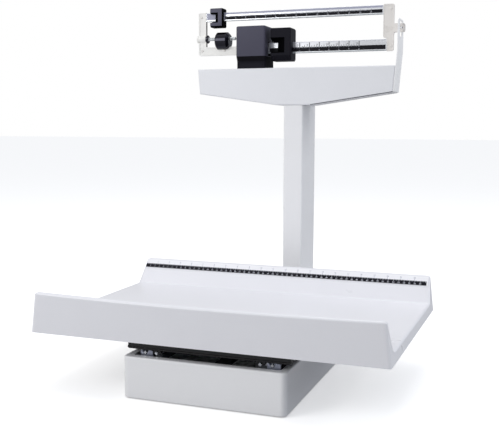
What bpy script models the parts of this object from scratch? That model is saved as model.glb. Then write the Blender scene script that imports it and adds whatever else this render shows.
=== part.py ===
"""Tray beam scale: lever base, sliding-weight beam on a column, and a tray with a length rule.

Metres, +Z up. The origin is under the middle of the object, on the surface it stands on.
X runs along the beam, Y from the user's side to the back.
"""

import math

import bmesh
import bpy
from mathutils import Matrix, Vector

# ---------------------------------------------------------------- driving dimensions
GAP = 0.0003                 # clearance between pieces that touch
SHEET = 0.0015               # painted sheet steel

BASE_LEFT, BASE_RIGHT = -0.1412, 0.137
BASE_FRONT, BASE_BACK = -0.271, 0.291
BASE_BOTTOM, BASE_TOP = 0.0014, 0.0705
BASE_OPENING_HALF_WIDTH = 0.1235
BASE_OPENING_FRONT, BASE_OPENING_BACK = -0.2565, 0.088

TRAY_FRONT, TRAY_FLOOR_TOP, TRAY_SKIRT_BOTTOM = -0.291, 0.1175, 0.0997
TRAY_FRONT_TOP, TRAY_BACK_TOP = 0.1677, 0.1640
TRAY_CREASE_Y, TRAY_BACK_TOP_Y = 0.087, 0.119
TRAY_LEFT_END = (-0.3010, -0.0024)     # X at the front's foot, and its change per metre back
TRAY_RIGHT_END = (0.2990, 0.0070)
TRAY_END_LEAN = 0.125        # how far an end leans in, per metre up
TRAY_SHEET = 0.0015

PLATFORM_LEFT, PLATFORM_RIGHT = -0.144, 0.1385
PLATFORM_FRONT, PLATFORM_BACK = -0.2536, 0.082
PLATFORM_BOTTOM = 0.079

COLUMN_HALF_WIDTH = 0.0201
COLUMN_FRONT, COLUMN_BACK = 0.195, 0.291
HEAD_FRONT, HEAD_BACK = 0.1937, 0.2513
HEAD_TOP, HEAD_END_BOTTOM, HEAD_BOTTOM = 0.5592, 0.5079, 0.4839

BEAM_Y, BEAM_PLATE = 0.2223, 0.006
FULCRUM_X, LOAD_X, PIVOT_Z = -0.085, -0.110, 0.5975
TRANSFER_FULCRUM_X, TRANSFER_Z = -0.150, 0.519
ZERO_Z = 0.6237
UPPER_BAR = (0.6600, 0.6780)
LOWER_BAR = (0.5895, 0.6121)

SIDE_FULCRUM_X, SIDE_LOAD_X, SIDE_PIVOT_Z = 0.109, 0.089, 0.0746
NOSE_Y, MAIN_FULCRUM_Y = -0.090, -0.230
STAND_DEPTH = 0.004
STANDS = {"front": (-0.2500, 1), "rear": (0.0700, -1)}   # middle in Y of each pair, and which way is inward
KNIFE = 0.003                # half the diagonal of a knife edge's square bar

# ---------------------------------------------------------------- scene and materials
for old in list(bpy.data.objects):
    bpy.data.objects.remove(old, do_unlink=True)


def collection(name):
    made = bpy.data.collections.new(name)
    bpy.context.scene.collection.children.link(made)
    return made


MODEL = collection("tray_beam_scale")
CUTTERS = collection("cutters")


def material(name, color, roughness, metallic=0.0):
    made = bpy.data.materials.new(name)
    made.use_nodes = True
    shader = made.node_tree.nodes["Principled BSDF"]
    shader.inputs["Base Color"].default_value = (*color, 1.0)
    shader.inputs["Roughness"].default_value = roughness
    shader.inputs["Metallic"].default_value = metallic
    return made


WHITE = material("white_paint", (0.80, 0.80, 0.83), 0.35)
BLACK = material("black_paint", (0.02, 0.02, 0.022), 0.45)
CHARCOAL = material("charcoal_plastic", (0.09, 0.09, 0.11), 0.55)
NICKEL = material("nickel_casting", (0.74, 0.72, 0.70), 0.40, 0.8)
BAR = material("bar_metal", (0.75, 0.76, 0.78), 0.30, 0.9)
STEEL = material("bright_steel", (0.62, 0.62, 0.64), 0.35, 1.0)
IRON = material("grey_iron", (0.30, 0.31, 0.32), 0.60, 0.6)
RUBBER = material("rubber", (0.03, 0.03, 0.03), 0.80)
RULE = material("rule_strip", (0.85, 0.85, 0.86), 0.45)


# ---------------------------------------------------------------- shape helpers
def place(name, mesh, look, group=MODEL):
    made = bpy.data.objects.new(name, mesh)
    made.data.materials.clear()
    made.data.materials.append(look)
    group.objects.link(made)
    return made


def box(name, low, high, look, group=MODEL, edge=0.0):
    """A block from its lowest to its highest corner; edge rounds its edges."""
    low, high = Vector(low), Vector(high)
    shape = bmesh.new()
    bmesh.ops.create_cube(shape, size=1.0, matrix=Matrix.Diagonal((*(high - low), 1.0)))
    mesh = bpy.data.meshes.new(name)
    shape.to_mesh(mesh)
    shape.free()
    made = place(name, mesh, look, group)
    made.location = (low + high) / 2
    if edge:
        rounding = made.modifiers.new("rounded_edges", "BEVEL")
        rounding.width = edge
        rounding.segments = 2
    return made


# rotations that lay a flat outline's own X, Y on the named world axes
PLANES = {
    "xy": Matrix.Identity(4),
    "xz": Matrix.Rotation(math.radians(90), 4, "X"),
    "yz": Matrix(((0, 0, 1, 0), (1, 0, 0, 0), (0, 1, 0, 0), (0, 0, 0, 1))),
}
NORMALS = {"xy": Vector((0, 0, 1)), "xz": Vector((0, 1, 0)), "yz": Vector((1, 0, 0))}
AXES = {
    "x": Matrix.Rotation(math.radians(90), 4, "Y"),
    "y": Matrix.Rotation(math.radians(-90), 4, "X"),
    "z": Matrix.Identity(4),
}


def plate(name, plane, outlines, low, high, look, group=MODEL):
    """A flat outline, with any holes as further outlines, extruded from low to high."""
    curve = bpy.data.curves.new(name, "CURVE")
    curve.dimensions = "2D"
    curve.fill_mode = "BOTH"
    curve.extrude = (high - low) / 2
    for outline in outlines:
        spline = curve.splines.new("POLY")
        spline.points.add(len(outline) - 1)
        for point, (a, b) in zip(spline.points, outline):
            point.co = (a, b, 0.0, 1.0)
        spline.use_cyclic_u = True
    drawn = bpy.data.objects.new(name + "_outline", curve)
    group.objects.link(drawn)
    drawn.matrix_world = Matrix.Translation(NORMALS[plane] * (low + high) / 2) @ PLANES[plane]
    bpy.context.view_layer.update()
    mesh = bpy.data.meshes.new_from_object(drawn.evaluated_get(bpy.context.evaluated_depsgraph_get()))
    welded = bmesh.new()
    welded.from_mesh(mesh)
    bmesh.ops.remove_doubles(welded, verts=welded.verts, dist=1e-6)
    bmesh.ops.recalc_face_normals(welded, faces=welded.faces)
    welded.to_mesh(mesh)
    welded.free()
    made = place(name, mesh, look, group)
    made.matrix_world = drawn.matrix_world
    bpy.data.objects.remove(drawn, do_unlink=True)
    return made


def rounded(corners, steps=3):
    """An outline from (a, b) or (a, b, radius) corners, with the round ones as arcs."""
    outline = []
    count = len(corners)
    for index, corner in enumerate(corners):
        here = Vector(corner[:2])
        radius = corner[2] if len(corner) > 2 else 0.0
        if not radius:
            outline.append(tuple(here))
            continue
        before = (Vector(corners[index - 1][:2]) - here).normalized()
        after = (Vector(corners[(index + 1) % count][:2]) - here).normalized()
        half = math.acos(max(-1.0, min(1.0, before.dot(after)))) / 2
        centre = here + (before + after).normalized() * radius / math.sin(half)
        start = here + before * radius / math.tan(half) - centre
        turn = start.angle_signed(here + after * radius / math.tan(half) - centre)
        for step in range(steps + 1):
            point = start.copy()
            point.rotate(Matrix.Rotation(-turn * step / steps, 2))
            outline.append(tuple(centre + point))
    return outline


def rectangle(a_low, a_high, b_low, b_high, radius=0.0, steps=3):
    corners = ((a_low, b_low), (a_high, b_low), (a_high, b_high), (a_low, b_high))
    return rounded([(a, b, radius) for a, b in corners], steps)


def circle(a, b, radius, count=16):
    turns = [math.tau * step / count for step in range(count)]
    return [(a + radius * math.cos(turn), b + radius * math.sin(turn)) for turn in turns]


def cylinder(name, axis, centre, low, high, radius, look, group=MODEL, sides=24):
    """A round bar along axis from low to high; centre holds the two other coordinates."""
    shape = bmesh.new()
    bmesh.ops.create_cone(
        shape, cap_ends=True, segments=sides, radius1=radius, radius2=radius, depth=high - low,
        matrix=AXES[axis],
    )
    mesh = bpy.data.meshes.new(name)
    shape.to_mesh(mesh)
    shape.free()
    made = place(name, mesh, look, group)
    middle = (low + high) / 2
    spot = {"x": (middle, *centre), "y": (centre[0], middle, centre[1]), "z": (*centre, middle)}
    made.location = spot[axis]
    mesh.shade_smooth()
    mesh.set_sharp_from_angle(angle=math.radians(40))
    return made


def knife(name, axis, centre, low, high):
    """A square steel bar on edge: one edge up, one edge down."""
    made = cylinder(name, axis, centre, low, high, KNIFE, STEEL, sides=4)
    made.data.shade_flat()
    return made


def turned(name, axis, place_at, profile, look, steps=32):
    """A turned piece: (radius, height) pairs run down its outer side, about the axis."""
    mesh = bpy.data.meshes.new(name)
    points = [(radius, 0.0, height) for radius, height in profile]
    mesh.from_pydata(points, [(i, i + 1) for i in range(len(points) - 1)], [])
    made = place(name, mesh, look)
    made.matrix_world = Matrix.Translation(place_at) @ AXES[axis]
    screw = made.modifiers.new("turned", "SCREW")
    screw.steps = steps
    screw.render_steps = steps
    screw.use_merge_vertices = True
    screw.merge_threshold = 0.00001
    return made


def boolean(target, tool, operation):
    for group in list(tool.users_collection):
        group.objects.unlink(tool)
    CUTTERS.objects.link(tool)
    tool.hide_render = True
    tool.display_type = "WIRE"
    step = target.modifiers.new(tool.name, "BOOLEAN")
    step.operation = operation
    step.solver = "EXACT"
    step.object = tool
    return target


def cut(target, *tools):
    for tool in tools:
        boolean(target, tool, "DIFFERENCE")
    return target


def join(target, *pieces):
    for piece in pieces:
        boolean(target, piece, "UNION")
    return target


def carried(pivot_name, at, *pieces):
    """Parents pieces to an empty on their joint's axis, leaving them where they are."""
    pivot = bpy.data.objects.new(pivot_name, None)
    pivot.location = at
    pivot.empty_display_size = 0.02
    MODEL.objects.link(pivot)
    for piece in pieces:
        piece.parent = pivot
        piece.matrix_parent_inverse = Matrix.Translation(at).inverted()


# ---------------------------------------------------------------- base, column and head
def column_passage():
    """The hole that joins the base to the column, with the draft rod near its front."""
    return rectangle(-0.0145, 0.0145, BEAM_Y - 0.022, COLUMN_BACK - 0.006, 0.003)


def make_base():
    shell = plate(
        "base_shell", "xy",
        [rectangle(BASE_LEFT, BASE_RIGHT, BASE_FRONT, BASE_BACK, 0.010, 5)],
        BASE_BOTTOM, BASE_TOP, WHITE,
    )
    cavity = plate(
        "base_cavity", "xy",
        [rectangle(BASE_LEFT + SHEET, BASE_RIGHT - SHEET,
                   BASE_FRONT + SHEET, BASE_BACK - SHEET, 0.0085, 5)],
        BASE_BOTTOM + SHEET, BASE_TOP - SHEET, WHITE,
    )
    opening = plate(
        "base_top_opening", "xy",
        [rectangle(-BASE_OPENING_HALF_WIDTH, BASE_OPENING_HALF_WIDTH,
                   BASE_OPENING_FRONT, BASE_OPENING_BACK, 0.004)],
        BASE_TOP - 0.004, BASE_TOP + 0.004, WHITE,
    )
    rod_hole = plate(
        "base_rod_hole", "xy", [column_passage()], BASE_TOP - 0.004, BASE_TOP + 0.004, WHITE,
    )
    cut(shell, cavity, opening, rod_hole)
    top = BASE_BOTTOM - GAP
    profile = [(0.0, top), (0.0100, top), (0.0100, 0.0003), (0.0097, 0.0), (0.0, 0.0)]
    for row, y in (("front", BASE_FRONT + 0.017), ("rear", BASE_BACK - 0.017)):
        for side, x in (("left", BASE_LEFT + 0.017), ("right", BASE_RIGHT - 0.017)):
            turned(f"foot_{row}_{side}", "z", (x, y, 0.0), profile, RUBBER, steps=20)


def make_column():
    bottom, top = BASE_TOP + GAP, HEAD_BOTTOM - GAP
    wall = 0.0016
    outer = rectangle(-COLUMN_HALF_WIDTH, COLUMN_HALF_WIDTH, COLUMN_FRONT, COLUMN_BACK, 0.003, 4)
    inner = rectangle(-COLUMN_HALF_WIDTH + wall, COLUMN_HALF_WIDTH - wall,
                      COLUMN_FRONT + wall, COLUMN_BACK - wall, 0.0014, 4)
    plate("column", "xy", [outer, inner], bottom, top, WHITE)
    inset = wall + GAP
    socket = rectangle(-COLUMN_HALF_WIDTH + inset, COLUMN_HALF_WIDTH - inset,
                       COLUMN_FRONT + inset, COLUMN_BACK - inset, 0.0015, 4)
    plate("column_socket", "xy", [socket, column_passage()], bottom, bottom + 0.022, IRON)
    box("column_cap", (-COLUMN_HALF_WIDTH, HEAD_BACK + GAP, HEAD_BOTTOM),
        (COLUMN_HALF_WIDTH, COLUMN_BACK, HEAD_BOTTOM + 0.004), WHITE, edge=0.001)


HEAD_LEFT_TOP, HEAD_RIGHT_TOP = -0.2105, 0.2064
HEAD_END_LEAN = 0.081        # how far an end leans in, per metre down
HEAD_FLAT_HALF = 0.0358


def head_outline(inset):
    """The head's trapezoid front, drawn smaller by inset on every side."""
    lean = HEAD_END_LEAN * (HEAD_TOP - HEAD_END_BOTTOM)
    rise = inset * 0.14
    return rounded([
        (HEAD_LEFT_TOP + inset, HEAD_TOP - inset, 0.002),
        (HEAD_LEFT_TOP + lean + inset, HEAD_END_BOTTOM + inset - rise, 0.002),
        (-HEAD_FLAT_HALF, HEAD_BOTTOM + inset),
        (HEAD_FLAT_HALF, HEAD_BOTTOM + inset),
        (HEAD_RIGHT_TOP - lean - inset, HEAD_END_BOTTOM + inset - rise, 0.002),
        (HEAD_RIGHT_TOP - inset, HEAD_TOP - inset, 0.002),
    ], 2)


def make_head():
    back_seam = HEAD_BACK - SHEET
    shell = plate("head_shell", "xz", [head_outline(0.0)], HEAD_FRONT, back_seam - GAP, WHITE)
    cavity = plate("head_cavity", "xz", [head_outline(SHEET)], HEAD_FRONT + SHEET, HEAD_BACK, WHITE)
    link_slot = box("head_link_slot", (-0.1185, 0.2040, HEAD_TOP - 0.005),
                    (-0.1015, 0.2410, HEAD_TOP + 0.005), WHITE)
    rod_hole = box("head_rod_hole", (-0.008, 0.2140, HEAD_BOTTOM - 0.004),
                   (0.008, 0.2306, HEAD_BOTTOM + 0.004), WHITE)
    cut(shell, cavity, link_slot, rod_hole)
    plate("head_back_cover", "xz", [head_outline(0.0)], back_seam, HEAD_BACK, WHITE)
    for side, x in (("left", -0.150), ("right", 0.150)):
        profile = [(0.0, 0.002), (0.002, 0.0018), (0.0035, 0.0), (0.0, 0.0)]
        turned(f"cover_screw_{side}", "y", (x, HEAD_BACK + GAP, 0.533), profile, STEEL, steps=16)


def make_trig_loop():
    """A flat plate on the head's right end, with the window that the beam's tip moves in."""
    thick, bend_z, top_z = 0.0015, 0.588, 0.6495
    lean = HEAD_END_LEAN
    inner_top = HEAD_RIGHT_TOP + GAP
    low_z = HEAD_END_BOTTOM + 0.001

    def inner(z):
        return inner_top - lean * (HEAD_TOP - min(z, bend_z))

    side = plate(
        "trig_loop", "xz",
        [[(inner(low_z), low_z), (inner(low_z) + thick, low_z), (inner(bend_z) + thick, bend_z),
          (inner(bend_z) + thick, top_z), (inner(bend_z), top_z), (inner(bend_z), bend_z)]],
        HEAD_FRONT, HEAD_BACK, WHITE,
    )
    window = rectangle(0.2125, 0.2375, 0.6160, 0.6463, 0.003)
    face = rounded([(HEAD_FRONT - 0.005, 0.480), (HEAD_BACK + 0.005, 0.480),
                    (HEAD_BACK + 0.005, 0.600), (HEAD_BACK, 0.600), (HEAD_BACK, top_z, 0.009),
                    (HEAD_FRONT, top_z, 0.009), (HEAD_FRONT, 0.600), (HEAD_FRONT - 0.005, 0.600)], 4)
    form = plate("trig_form", "yz", [face, window], 0.185, 0.225, WHITE)
    boolean(side, form, "INTERSECT")


COVER = (-0.1240, -0.0610)   # X limits of the fulcrum cover
COVER_FRONT, COVER_BACK = 0.1934, 0.2508


def make_fulcrum_cover():
    top, slant_top, slant_bottom = 0.6452, 0.5840, 0.5740
    bottom = HEAD_TOP + GAP
    wall = 0.002
    neck_inset = 0.005

    def side(inset, low, high):
        return rounded([
            (COVER_FRONT + neck_inset + inset, low), (COVER_BACK - inset, low),
            (COVER_BACK - inset, high, 0.004 - inset), (COVER_FRONT + inset, high, 0.004 - inset),
            (COVER_FRONT + inset, slant_top + inset),
            (COVER_FRONT + neck_inset + inset, slant_bottom + inset),
        ])

    cover = plate("fulcrum_cover", "yz", [side(0.0, bottom, top)], COVER[0], COVER[1], CHARCOAL)
    cavity = plate("cover_cavity", "yz", [side(wall, bottom - 0.005, top - wall)],
                   COVER[0] + wall, COVER[1] - wall, CHARCOAL)
    passage = box("cover_passage", (COVER[0] - 0.005, 0.2140, 0.5855), (COVER[1] + 0.005, 0.2312, 0.6135),
                  CHARCOAL)
    cut(cover, cavity, passage)


def make_fulcrum_stand():
    foot, top = HEAD_TOP + GAP, 0.588
    upright = 0.005
    front, back = 0.2015, 0.2401
    stand = rounded([(front, foot), (back, foot), (back, top), (back - upright, top),
                     (back - upright, foot + 0.004), (front + upright, foot + 0.004),
                     (front + upright, top), (front, top)])
    plate("fulcrum_stand", "yz", [stand], FULCRUM_X - 0.008, FULCRUM_X + 0.008, IRON)
    half, low, high = 0.007, top + GAP, PIVOT_Z + 0.0015
    apex = PIVOT_Z - KNIFE - GAP
    block = [(FULCRUM_X - half, low), (FULCRUM_X + half, low), (FULCRUM_X + half, high),
             (FULCRUM_X + 0.0048, high), (FULCRUM_X, apex), (FULCRUM_X - 0.0048, high),
             (FULCRUM_X - half, high)]
    plate("fulcrum_bearing_front", "xz", [block], front, front + upright, STEEL)
    plate("fulcrum_bearing_rear", "xz", [block], back - upright, back, STEEL)


def make_transfer_hanger():
    """A stirrup under the head's top that holds the transfer lever's fulcrum knife."""
    top = HEAD_TOP - SHEET - GAP
    front, back, ear = 0.2080, 0.2366, 0.0032
    low = TRANSFER_Z - 0.007
    shape = [(front, low), (front + ear, low), (front + ear, top - 0.003), (back - ear, top - 0.003),
             (back - ear, low), (back, low), (back, top), (front, top)]
    hanger = plate("transfer_hanger", "yz", [shape], TRANSFER_FULCRUM_X - 0.007,
                   TRANSFER_FULCRUM_X + 0.007, IRON)
    hole = cylinder("hanger_hole", "y", (TRANSFER_FULCRUM_X, TRANSFER_Z), front - 0.005, back + 0.005,
                    KNIFE + GAP + 0.0002, IRON, sides=16)
    cut(hanger, hole)


# ---------------------------------------------------------------- platform and tray
def make_platform():
    top = TRAY_FLOOR_TOP - TRAY_SHEET - GAP
    wall = 0.002
    shell = plate(
        "platform", "xy",
        [rectangle(PLATFORM_LEFT, PLATFORM_RIGHT, PLATFORM_FRONT, PLATFORM_BACK, 0.008, 4)],
        PLATFORM_BOTTOM, top, BLACK,
    )
    cavity = plate(
        "platform_cavity", "xy",
        [rectangle(PLATFORM_LEFT + wall, PLATFORM_RIGHT - wall,
                   PLATFORM_FRONT + wall, PLATFORM_BACK - wall, 0.006, 4)],
        PLATFORM_BOTTOM - 0.005, top - wall, BLACK,
    )
    cut(shell, cavity)
    pieces = [shell]
    ceiling = top - wall - GAP
    apex = SIDE_PIVOT_Z + KNIFE + GAP
    for row, (middle, inward) in STANDS.items():
        low, high = middle + inward * 0.001 - STAND_DEPTH / 2, middle + inward * 0.001 + STAND_DEPTH / 2
        for side, sign in (("left", -1), ("right", 1)):
            x = sign * SIDE_LOAD_X
            leg = [(x - 0.007, 0.0740), (x - 0.0050, 0.0740), (x - 0.0012, apex), (x + 0.0012, apex),
                   (x + 0.0050, 0.0740), (x + 0.007, 0.0740), (x + 0.007, ceiling), (x - 0.007, ceiling)]
            pieces.append(plate(f"platform_leg_{row}_{side}", "xz", [leg], low, high, BLACK))
    return pieces


def tray_corners():
    """The sheet's upper side in Y, Z and bend radius: front, lip, slope, floor, back wall and flange."""
    flange_y = TRAY_BACK_TOP_Y + 0.007
    return [
        (TRAY_FRONT, TRAY_SKIRT_BOTTOM, 0.0),
        (TRAY_FRONT, TRAY_FRONT_TOP, 0.004),
        (TRAY_FRONT + 0.0085, TRAY_FRONT_TOP, 0.004),
        (-0.2640, TRAY_FLOOR_TOP, 0.020),
        (TRAY_CREASE_Y, TRAY_FLOOR_TOP, 0.005),
        (TRAY_BACK_TOP_Y, TRAY_BACK_TOP, 0.003),
        (flange_y, TRAY_BACK_TOP - 0.0005, 0.0),
        (flange_y, TRAY_BACK_TOP - 0.009, 0.0),
    ]


def under(corners, depth):
    """The same corners on the sheet's lower side."""
    lines = []
    for (y, z, _), (next_y, next_z, _) in zip(corners, corners[1:]):
        run = Vector((next_y - y, next_z - z)).normalized()
        lines.append((Vector((y, z)) + Vector((run.y, -run.x)) * depth, run))
    moved = [(*lines[0][0], 0.0)]
    for (at, run), (next_at, next_run), (_, _, radius) in zip(lines, lines[1:], corners[1:]):
        bend = run.x * next_run.y - run.y * next_run.x
        along = ((next_at - at).x * next_run.y - (next_at - at).y * next_run.x) / bend
        meet = at + run * along
        moved.append((*meet, max(0.0, radius + (depth if bend > 0 else -depth)) if radius else 0.0))
    at, run = lines[-1]
    last = Vector(corners[-1][:2]) + Vector((run.y, -run.x)) * depth
    return [*moved, (*last, 0.0)]


def tray_end(side, y, z, inset):
    """X of an end's leaning plane, which the front's foot and the widening fix."""
    foot, widening = TRAY_LEFT_END if side < 0 else TRAY_RIGHT_END
    return foot + widening * (y - TRAY_FRONT) - side * (TRAY_END_LEAN * (z - TRAY_SKIRT_BOTTOM) + inset)


def tray_block(name, outline, inset):
    """A solid under the tray's upper side, between its two leaning ends."""
    count = len(outline)
    verts = [(tray_end(side, y, z, inset), y, z) for side in (-1, 1) for y, z in outline]
    faces = [tuple(range(count)), tuple(range(count, 2 * count))]
    faces += [(k, (k + 1) % count, count + (k + 1) % count, count + k) for k in range(count)]
    mesh = bpy.data.meshes.new(name)
    mesh.from_pydata(verts, [], faces)
    solid = bmesh.new()
    solid.from_mesh(mesh)
    bmesh.ops.recalc_face_normals(solid, faces=solid.faces)
    solid.to_mesh(mesh)
    solid.free()
    return place(name, mesh, WHITE)


def make_tray():
    """A sheet pressing, open below and behind its back wall."""
    corners = tray_corners()
    outside = rounded([*corners, (TRAY_BACK_TOP_Y - 0.001, TRAY_SKIRT_BOTTOM, 0.0)], 4)
    inner = under(corners, TRAY_SHEET)
    low, beyond = TRAY_SKIRT_BOTTOM - 0.010, inner[-1][0] + 0.020
    rear = [(beyond, inner[-1][1], 0.0), (beyond, low, 0.0)]
    inside = rounded([(inner[0][0], low, 0.0), *inner[1:], *rear], 4)
    tray = tray_block("tray", outside, 0.0)
    cut(tray, tray_block("tray_hollow", inside, TRAY_SHEET))
    return tray


def make_rule():
    """The length rule: a thin strip on the front of the leaning back wall."""
    run = Vector((TRAY_BACK_TOP_Y - TRAY_CREASE_Y, TRAY_BACK_TOP - TRAY_FLOOR_TOP)).normalized()
    away = Vector((-run.y, run.x))
    thick = 0.0006
    foot = Vector((TRAY_CREASE_Y, TRAY_FLOOR_TOP))
    low, high = 0.0350, 0.0541
    corners = [foot + run * low + away * GAP, foot + run * high + away * GAP,
               foot + run * high + away * (GAP + thick), foot + run * low + away * (GAP + thick)]
    return plate("length_rule", "yz", [[tuple(corner) for corner in corners]], -0.2934, 0.2922, RULE)


# ---------------------------------------------------------------- levers in the base
STAND_WIDE, STAND_NARROW = 0.0130, 0.0085   # metal to the right and left of each V notch


def make_bearing_stands():
    """Upright brackets whose V notches hold the side levers' fulcrum knives."""
    low, high = BASE_BOTTOM + SHEET + GAP, 0.0780
    apex = SIDE_PIVOT_Z - KNIFE - GAP
    for row, (middle, inward) in STANDS.items():
        front, back = middle - STAND_DEPTH / 2, middle + STAND_DEPTH / 2
        for side, sign in (("left", -1), ("right", 1)):
            x = sign * SIDE_FULCRUM_X
            shape = [(x - STAND_NARROW, low), (x + STAND_WIDE, low), (x + STAND_WIDE, high),
                     (x + 0.0064, high), (x + 0.0012, apex), (x - 0.0012, apex),
                     (x - 0.0060, high), (x - STAND_NARROW, high)]
            stand = plate(f"bearing_stand_{row}_{side}", "xz", [shape], front, back, STEEL)
            near, far = sorted((middle, middle + inward * 0.014))
            foot = box(f"stand_foot_{row}_{side}", (x - STAND_NARROW + 0.001, near, low + 0.0002),
                       (x + STAND_WIDE - 0.001, far, low + 0.003), STEEL)
            join(stand, foot)


def make_side_lever(side, sign):
    """A long casting beside the base opening, with an arm to the middle."""
    low, high = 0.0610, 0.0710
    outer, inner = 0.1165, 0.0810
    arm = 0.012
    nose = 0.0015
    front, rear = STANDS["front"][0] + 0.004, STANDS["rear"][0] - 0.004
    corners = [
        (outer, front, 0.004), (outer, rear, 0.004), (inner, rear, 0.004), (inner, NOSE_Y + arm, 0.006),
        (nose, NOSE_Y + arm * 0.6, 0.003), (nose, NOSE_Y - arm * 0.6, 0.003), (inner, NOSE_Y - arm, 0.006),
        (inner, front, 0.004),
    ]
    hole_x = (outer + inner) / 2
    windows = [rectangle(sign * hole_x - 0.008, sign * hole_x + 0.008, start, end, 0.006)
               for start, end in ((front + 0.026, NOSE_Y - 0.025), (NOSE_Y + 0.025, rear - 0.026))]
    lever = plate(f"{side}_lever", "xy", [rounded([(sign * a, b, r) for a, b, r in corners]), *windows],
                  low, high, IRON)
    pieces = [lever]
    for row, (middle, inward) in STANDS.items():
        near, far = sorted((middle + inward * 0.004, middle + inward * 0.016))
        block = box(f"{side}_knives_{row}", (min(sign * 0.083, sign * 0.115), near, high + GAP),
                    (max(sign * 0.083, sign * 0.115), far, 0.0800), STEEL)
        reach = sorted((middle - inward * 0.003, middle + inward * 0.010))
        for use, x in (("fulcrum", SIDE_FULCRUM_X), ("load", SIDE_LOAD_X)):
            join(block, knife(f"{side}_{row}_{use}_edge", "y", (sign * x, SIDE_PIVOT_Z), *reach))
        pieces.append(block)
    carried(f"{side}_lever_pivot", (sign * SIDE_FULCRUM_X, 0.0, SIDE_PIVOT_Z - KNIFE), *pieces)


def make_main_lever():
    low, high = 0.0440, 0.0520
    end = BEAM_Y + 0.010
    fork = BEAM_Y - 0.012
    outline = rounded([
        (-0.010, MAIN_FULCRUM_Y - 0.012, 0.003), (0.010, MAIN_FULCRUM_Y - 0.012, 0.003), (0.010, end, 0.001),
        (0.0045, end), (0.0045, fork, 0.002), (-0.0045, fork, 0.002), (-0.0045, end), (-0.010, end, 0.001),
    ])
    lever = plate("main_lever", "xy", [outline], low, high, IRON)
    bearing = box("nose_bearing", (-0.016, NOSE_Y - 0.008, high + GAP),
                  (0.016, NOSE_Y + 0.008, 0.0607), STEEL)
    fulcrum = knife("main_fulcrum_knife", "x", (MAIN_FULCRUM_Y, low - GAP - KNIFE), -0.016, 0.016)
    load = knife("main_load_knife", "x", (BEAM_Y, high + GAP + KNIFE), -0.010, 0.010)
    pivot_z = low - GAP - 2 * KNIFE
    carried("main_lever_pivot", (0.0, MAIN_FULCRUM_Y, pivot_z), lever, bearing, fulcrum, load)
    foot, top = BASE_BOTTOM + SHEET + GAP, pivot_z + 0.002
    half = 0.008
    stand = [(MAIN_FULCRUM_Y - half, foot), (MAIN_FULCRUM_Y + half, foot), (MAIN_FULCRUM_Y + half, top),
             (MAIN_FULCRUM_Y + 0.0040, top), (MAIN_FULCRUM_Y, pivot_z - GAP), (MAIN_FULCRUM_Y - 0.0040, top),
             (MAIN_FULCRUM_Y - half, top)]
    plate("main_fulcrum_stand", "yz", [stand], -0.014, 0.014, IRON)
    return high + GAP


def make_draft_rod(hook_edge):
    """The rod up the column, with an eye at each end: one across X, one across Y."""
    wire, eye = 0.0020, 0.0062
    low_eye = hook_edge - GAP + eye - wire
    high_eye = TRANSFER_Z + KNIFE + GAP - eye + wire

    rod = cylinder("draft_rod", "z", (0.0, BEAM_Y), low_eye + eye - 0.0008, high_eye - eye + 0.0008, 0.0025,
                   STEEL, sides=16)
    eyes = (("rod_low_eye", "yz", BEAM_Y, 0.0, low_eye), ("rod_high_eye", "xz", 0.0, BEAM_Y, high_eye))
    for name, plane, middle, centre, at in eyes:
        ring = plate(name, plane, [circle(middle, at, eye, 20), circle(middle, at, eye - wire, 20)],
                     centre - 0.0018, centre + 0.0018, STEEL)
        join(rod, ring)
    carried("draft_rod_pivot", (0.0, BEAM_Y, low_eye), rod)


# ---------------------------------------------------------------- transfer lever and link
def make_transfer_lever():
    front, back, thick = 0.2140, 0.2306, 0.0030
    half = 0.007
    pins = (("fulcrum", TRANSFER_FULCRUM_X), ("link", LOAD_X), ("load", 0.0))
    holes = [circle(x, TRANSFER_Z, KNIFE + GAP, 12) for _, x in pins]
    outline = rectangle(TRANSFER_FULCRUM_X - 0.008, 0.008, TRANSFER_Z - half, TRANSFER_Z + half, 0.004)
    lever = plate("transfer_lever", "xz", [outline, *holes], front, front + thick, IRON)
    rear = plate("transfer_rear_plate", "xz", [outline, *holes], back - thick, back, IRON)
    spacers = [box(f"transfer_spacer_{index}", (x - 0.005, front + 0.001, TRANSFER_Z - 0.005),
                   (x + 0.005, back - 0.001, TRANSFER_Z + 0.005), IRON)
               for index, x in enumerate((-0.130, -0.055))]
    # the plates stand apart, so the first spacer joins them before the second is added
    join(lever, spacers[0], rear, spacers[1])
    reaches = {"fulcrum": (0.2068, 0.2378), "link": (0.2075, 0.2371), "load": (front, back)}
    knives = [knife(f"transfer_{use}_knife", "y", (x, TRANSFER_Z), *reaches[use]) for use, x in pins]
    carried("transfer_lever_pivot", (TRANSFER_FULCRUM_X, BEAM_Y, TRANSFER_Z + KNIFE), lever, *knives)


def make_beam_link():
    """Two side plates that hang from the beam's load knife and hold the transfer lever's."""
    half, round_end = 0.0065, 0.0062
    hole = KNIFE + 0.0006
    outline = rectangle(LOAD_X - half, LOAD_X + half, TRANSFER_Z - 0.008, PIVOT_Z + 0.008, round_end)
    holes = [circle(LOAD_X, TRANSFER_Z, hole, 12), circle(LOAD_X, PIVOT_Z, hole, 12)]
    link = plate("beam_link", "xz", [outline, *holes], 0.2085, 0.2110, STEEL)
    rear = plate("link_rear_plate", "xz", [outline, *holes], 0.2336, 0.2361, STEEL)
    bar = box("link_cross_bar", (LOAD_X - 0.005, 0.2095, 0.5560), (LOAD_X + 0.005, 0.2351, 0.5660), STEEL)
    join(link, bar, rear)
    carried("beam_link_pivot", (LOAD_X, BEAM_Y, PIVOT_Z), link)


# ---------------------------------------------------------------- beam
PLATE_FRONT, PLATE_BACK = BEAM_Y - BEAM_PLATE / 2, BEAM_Y + BEAM_PLATE / 2
TIP_X, RIGHT_PLATE_EDGE = 0.2187, 0.1970
LEFT_EDGE, LEFT_INNER, ARM_END = -0.219, -0.2015, -0.064
ARM_TOP = 0.607


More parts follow.
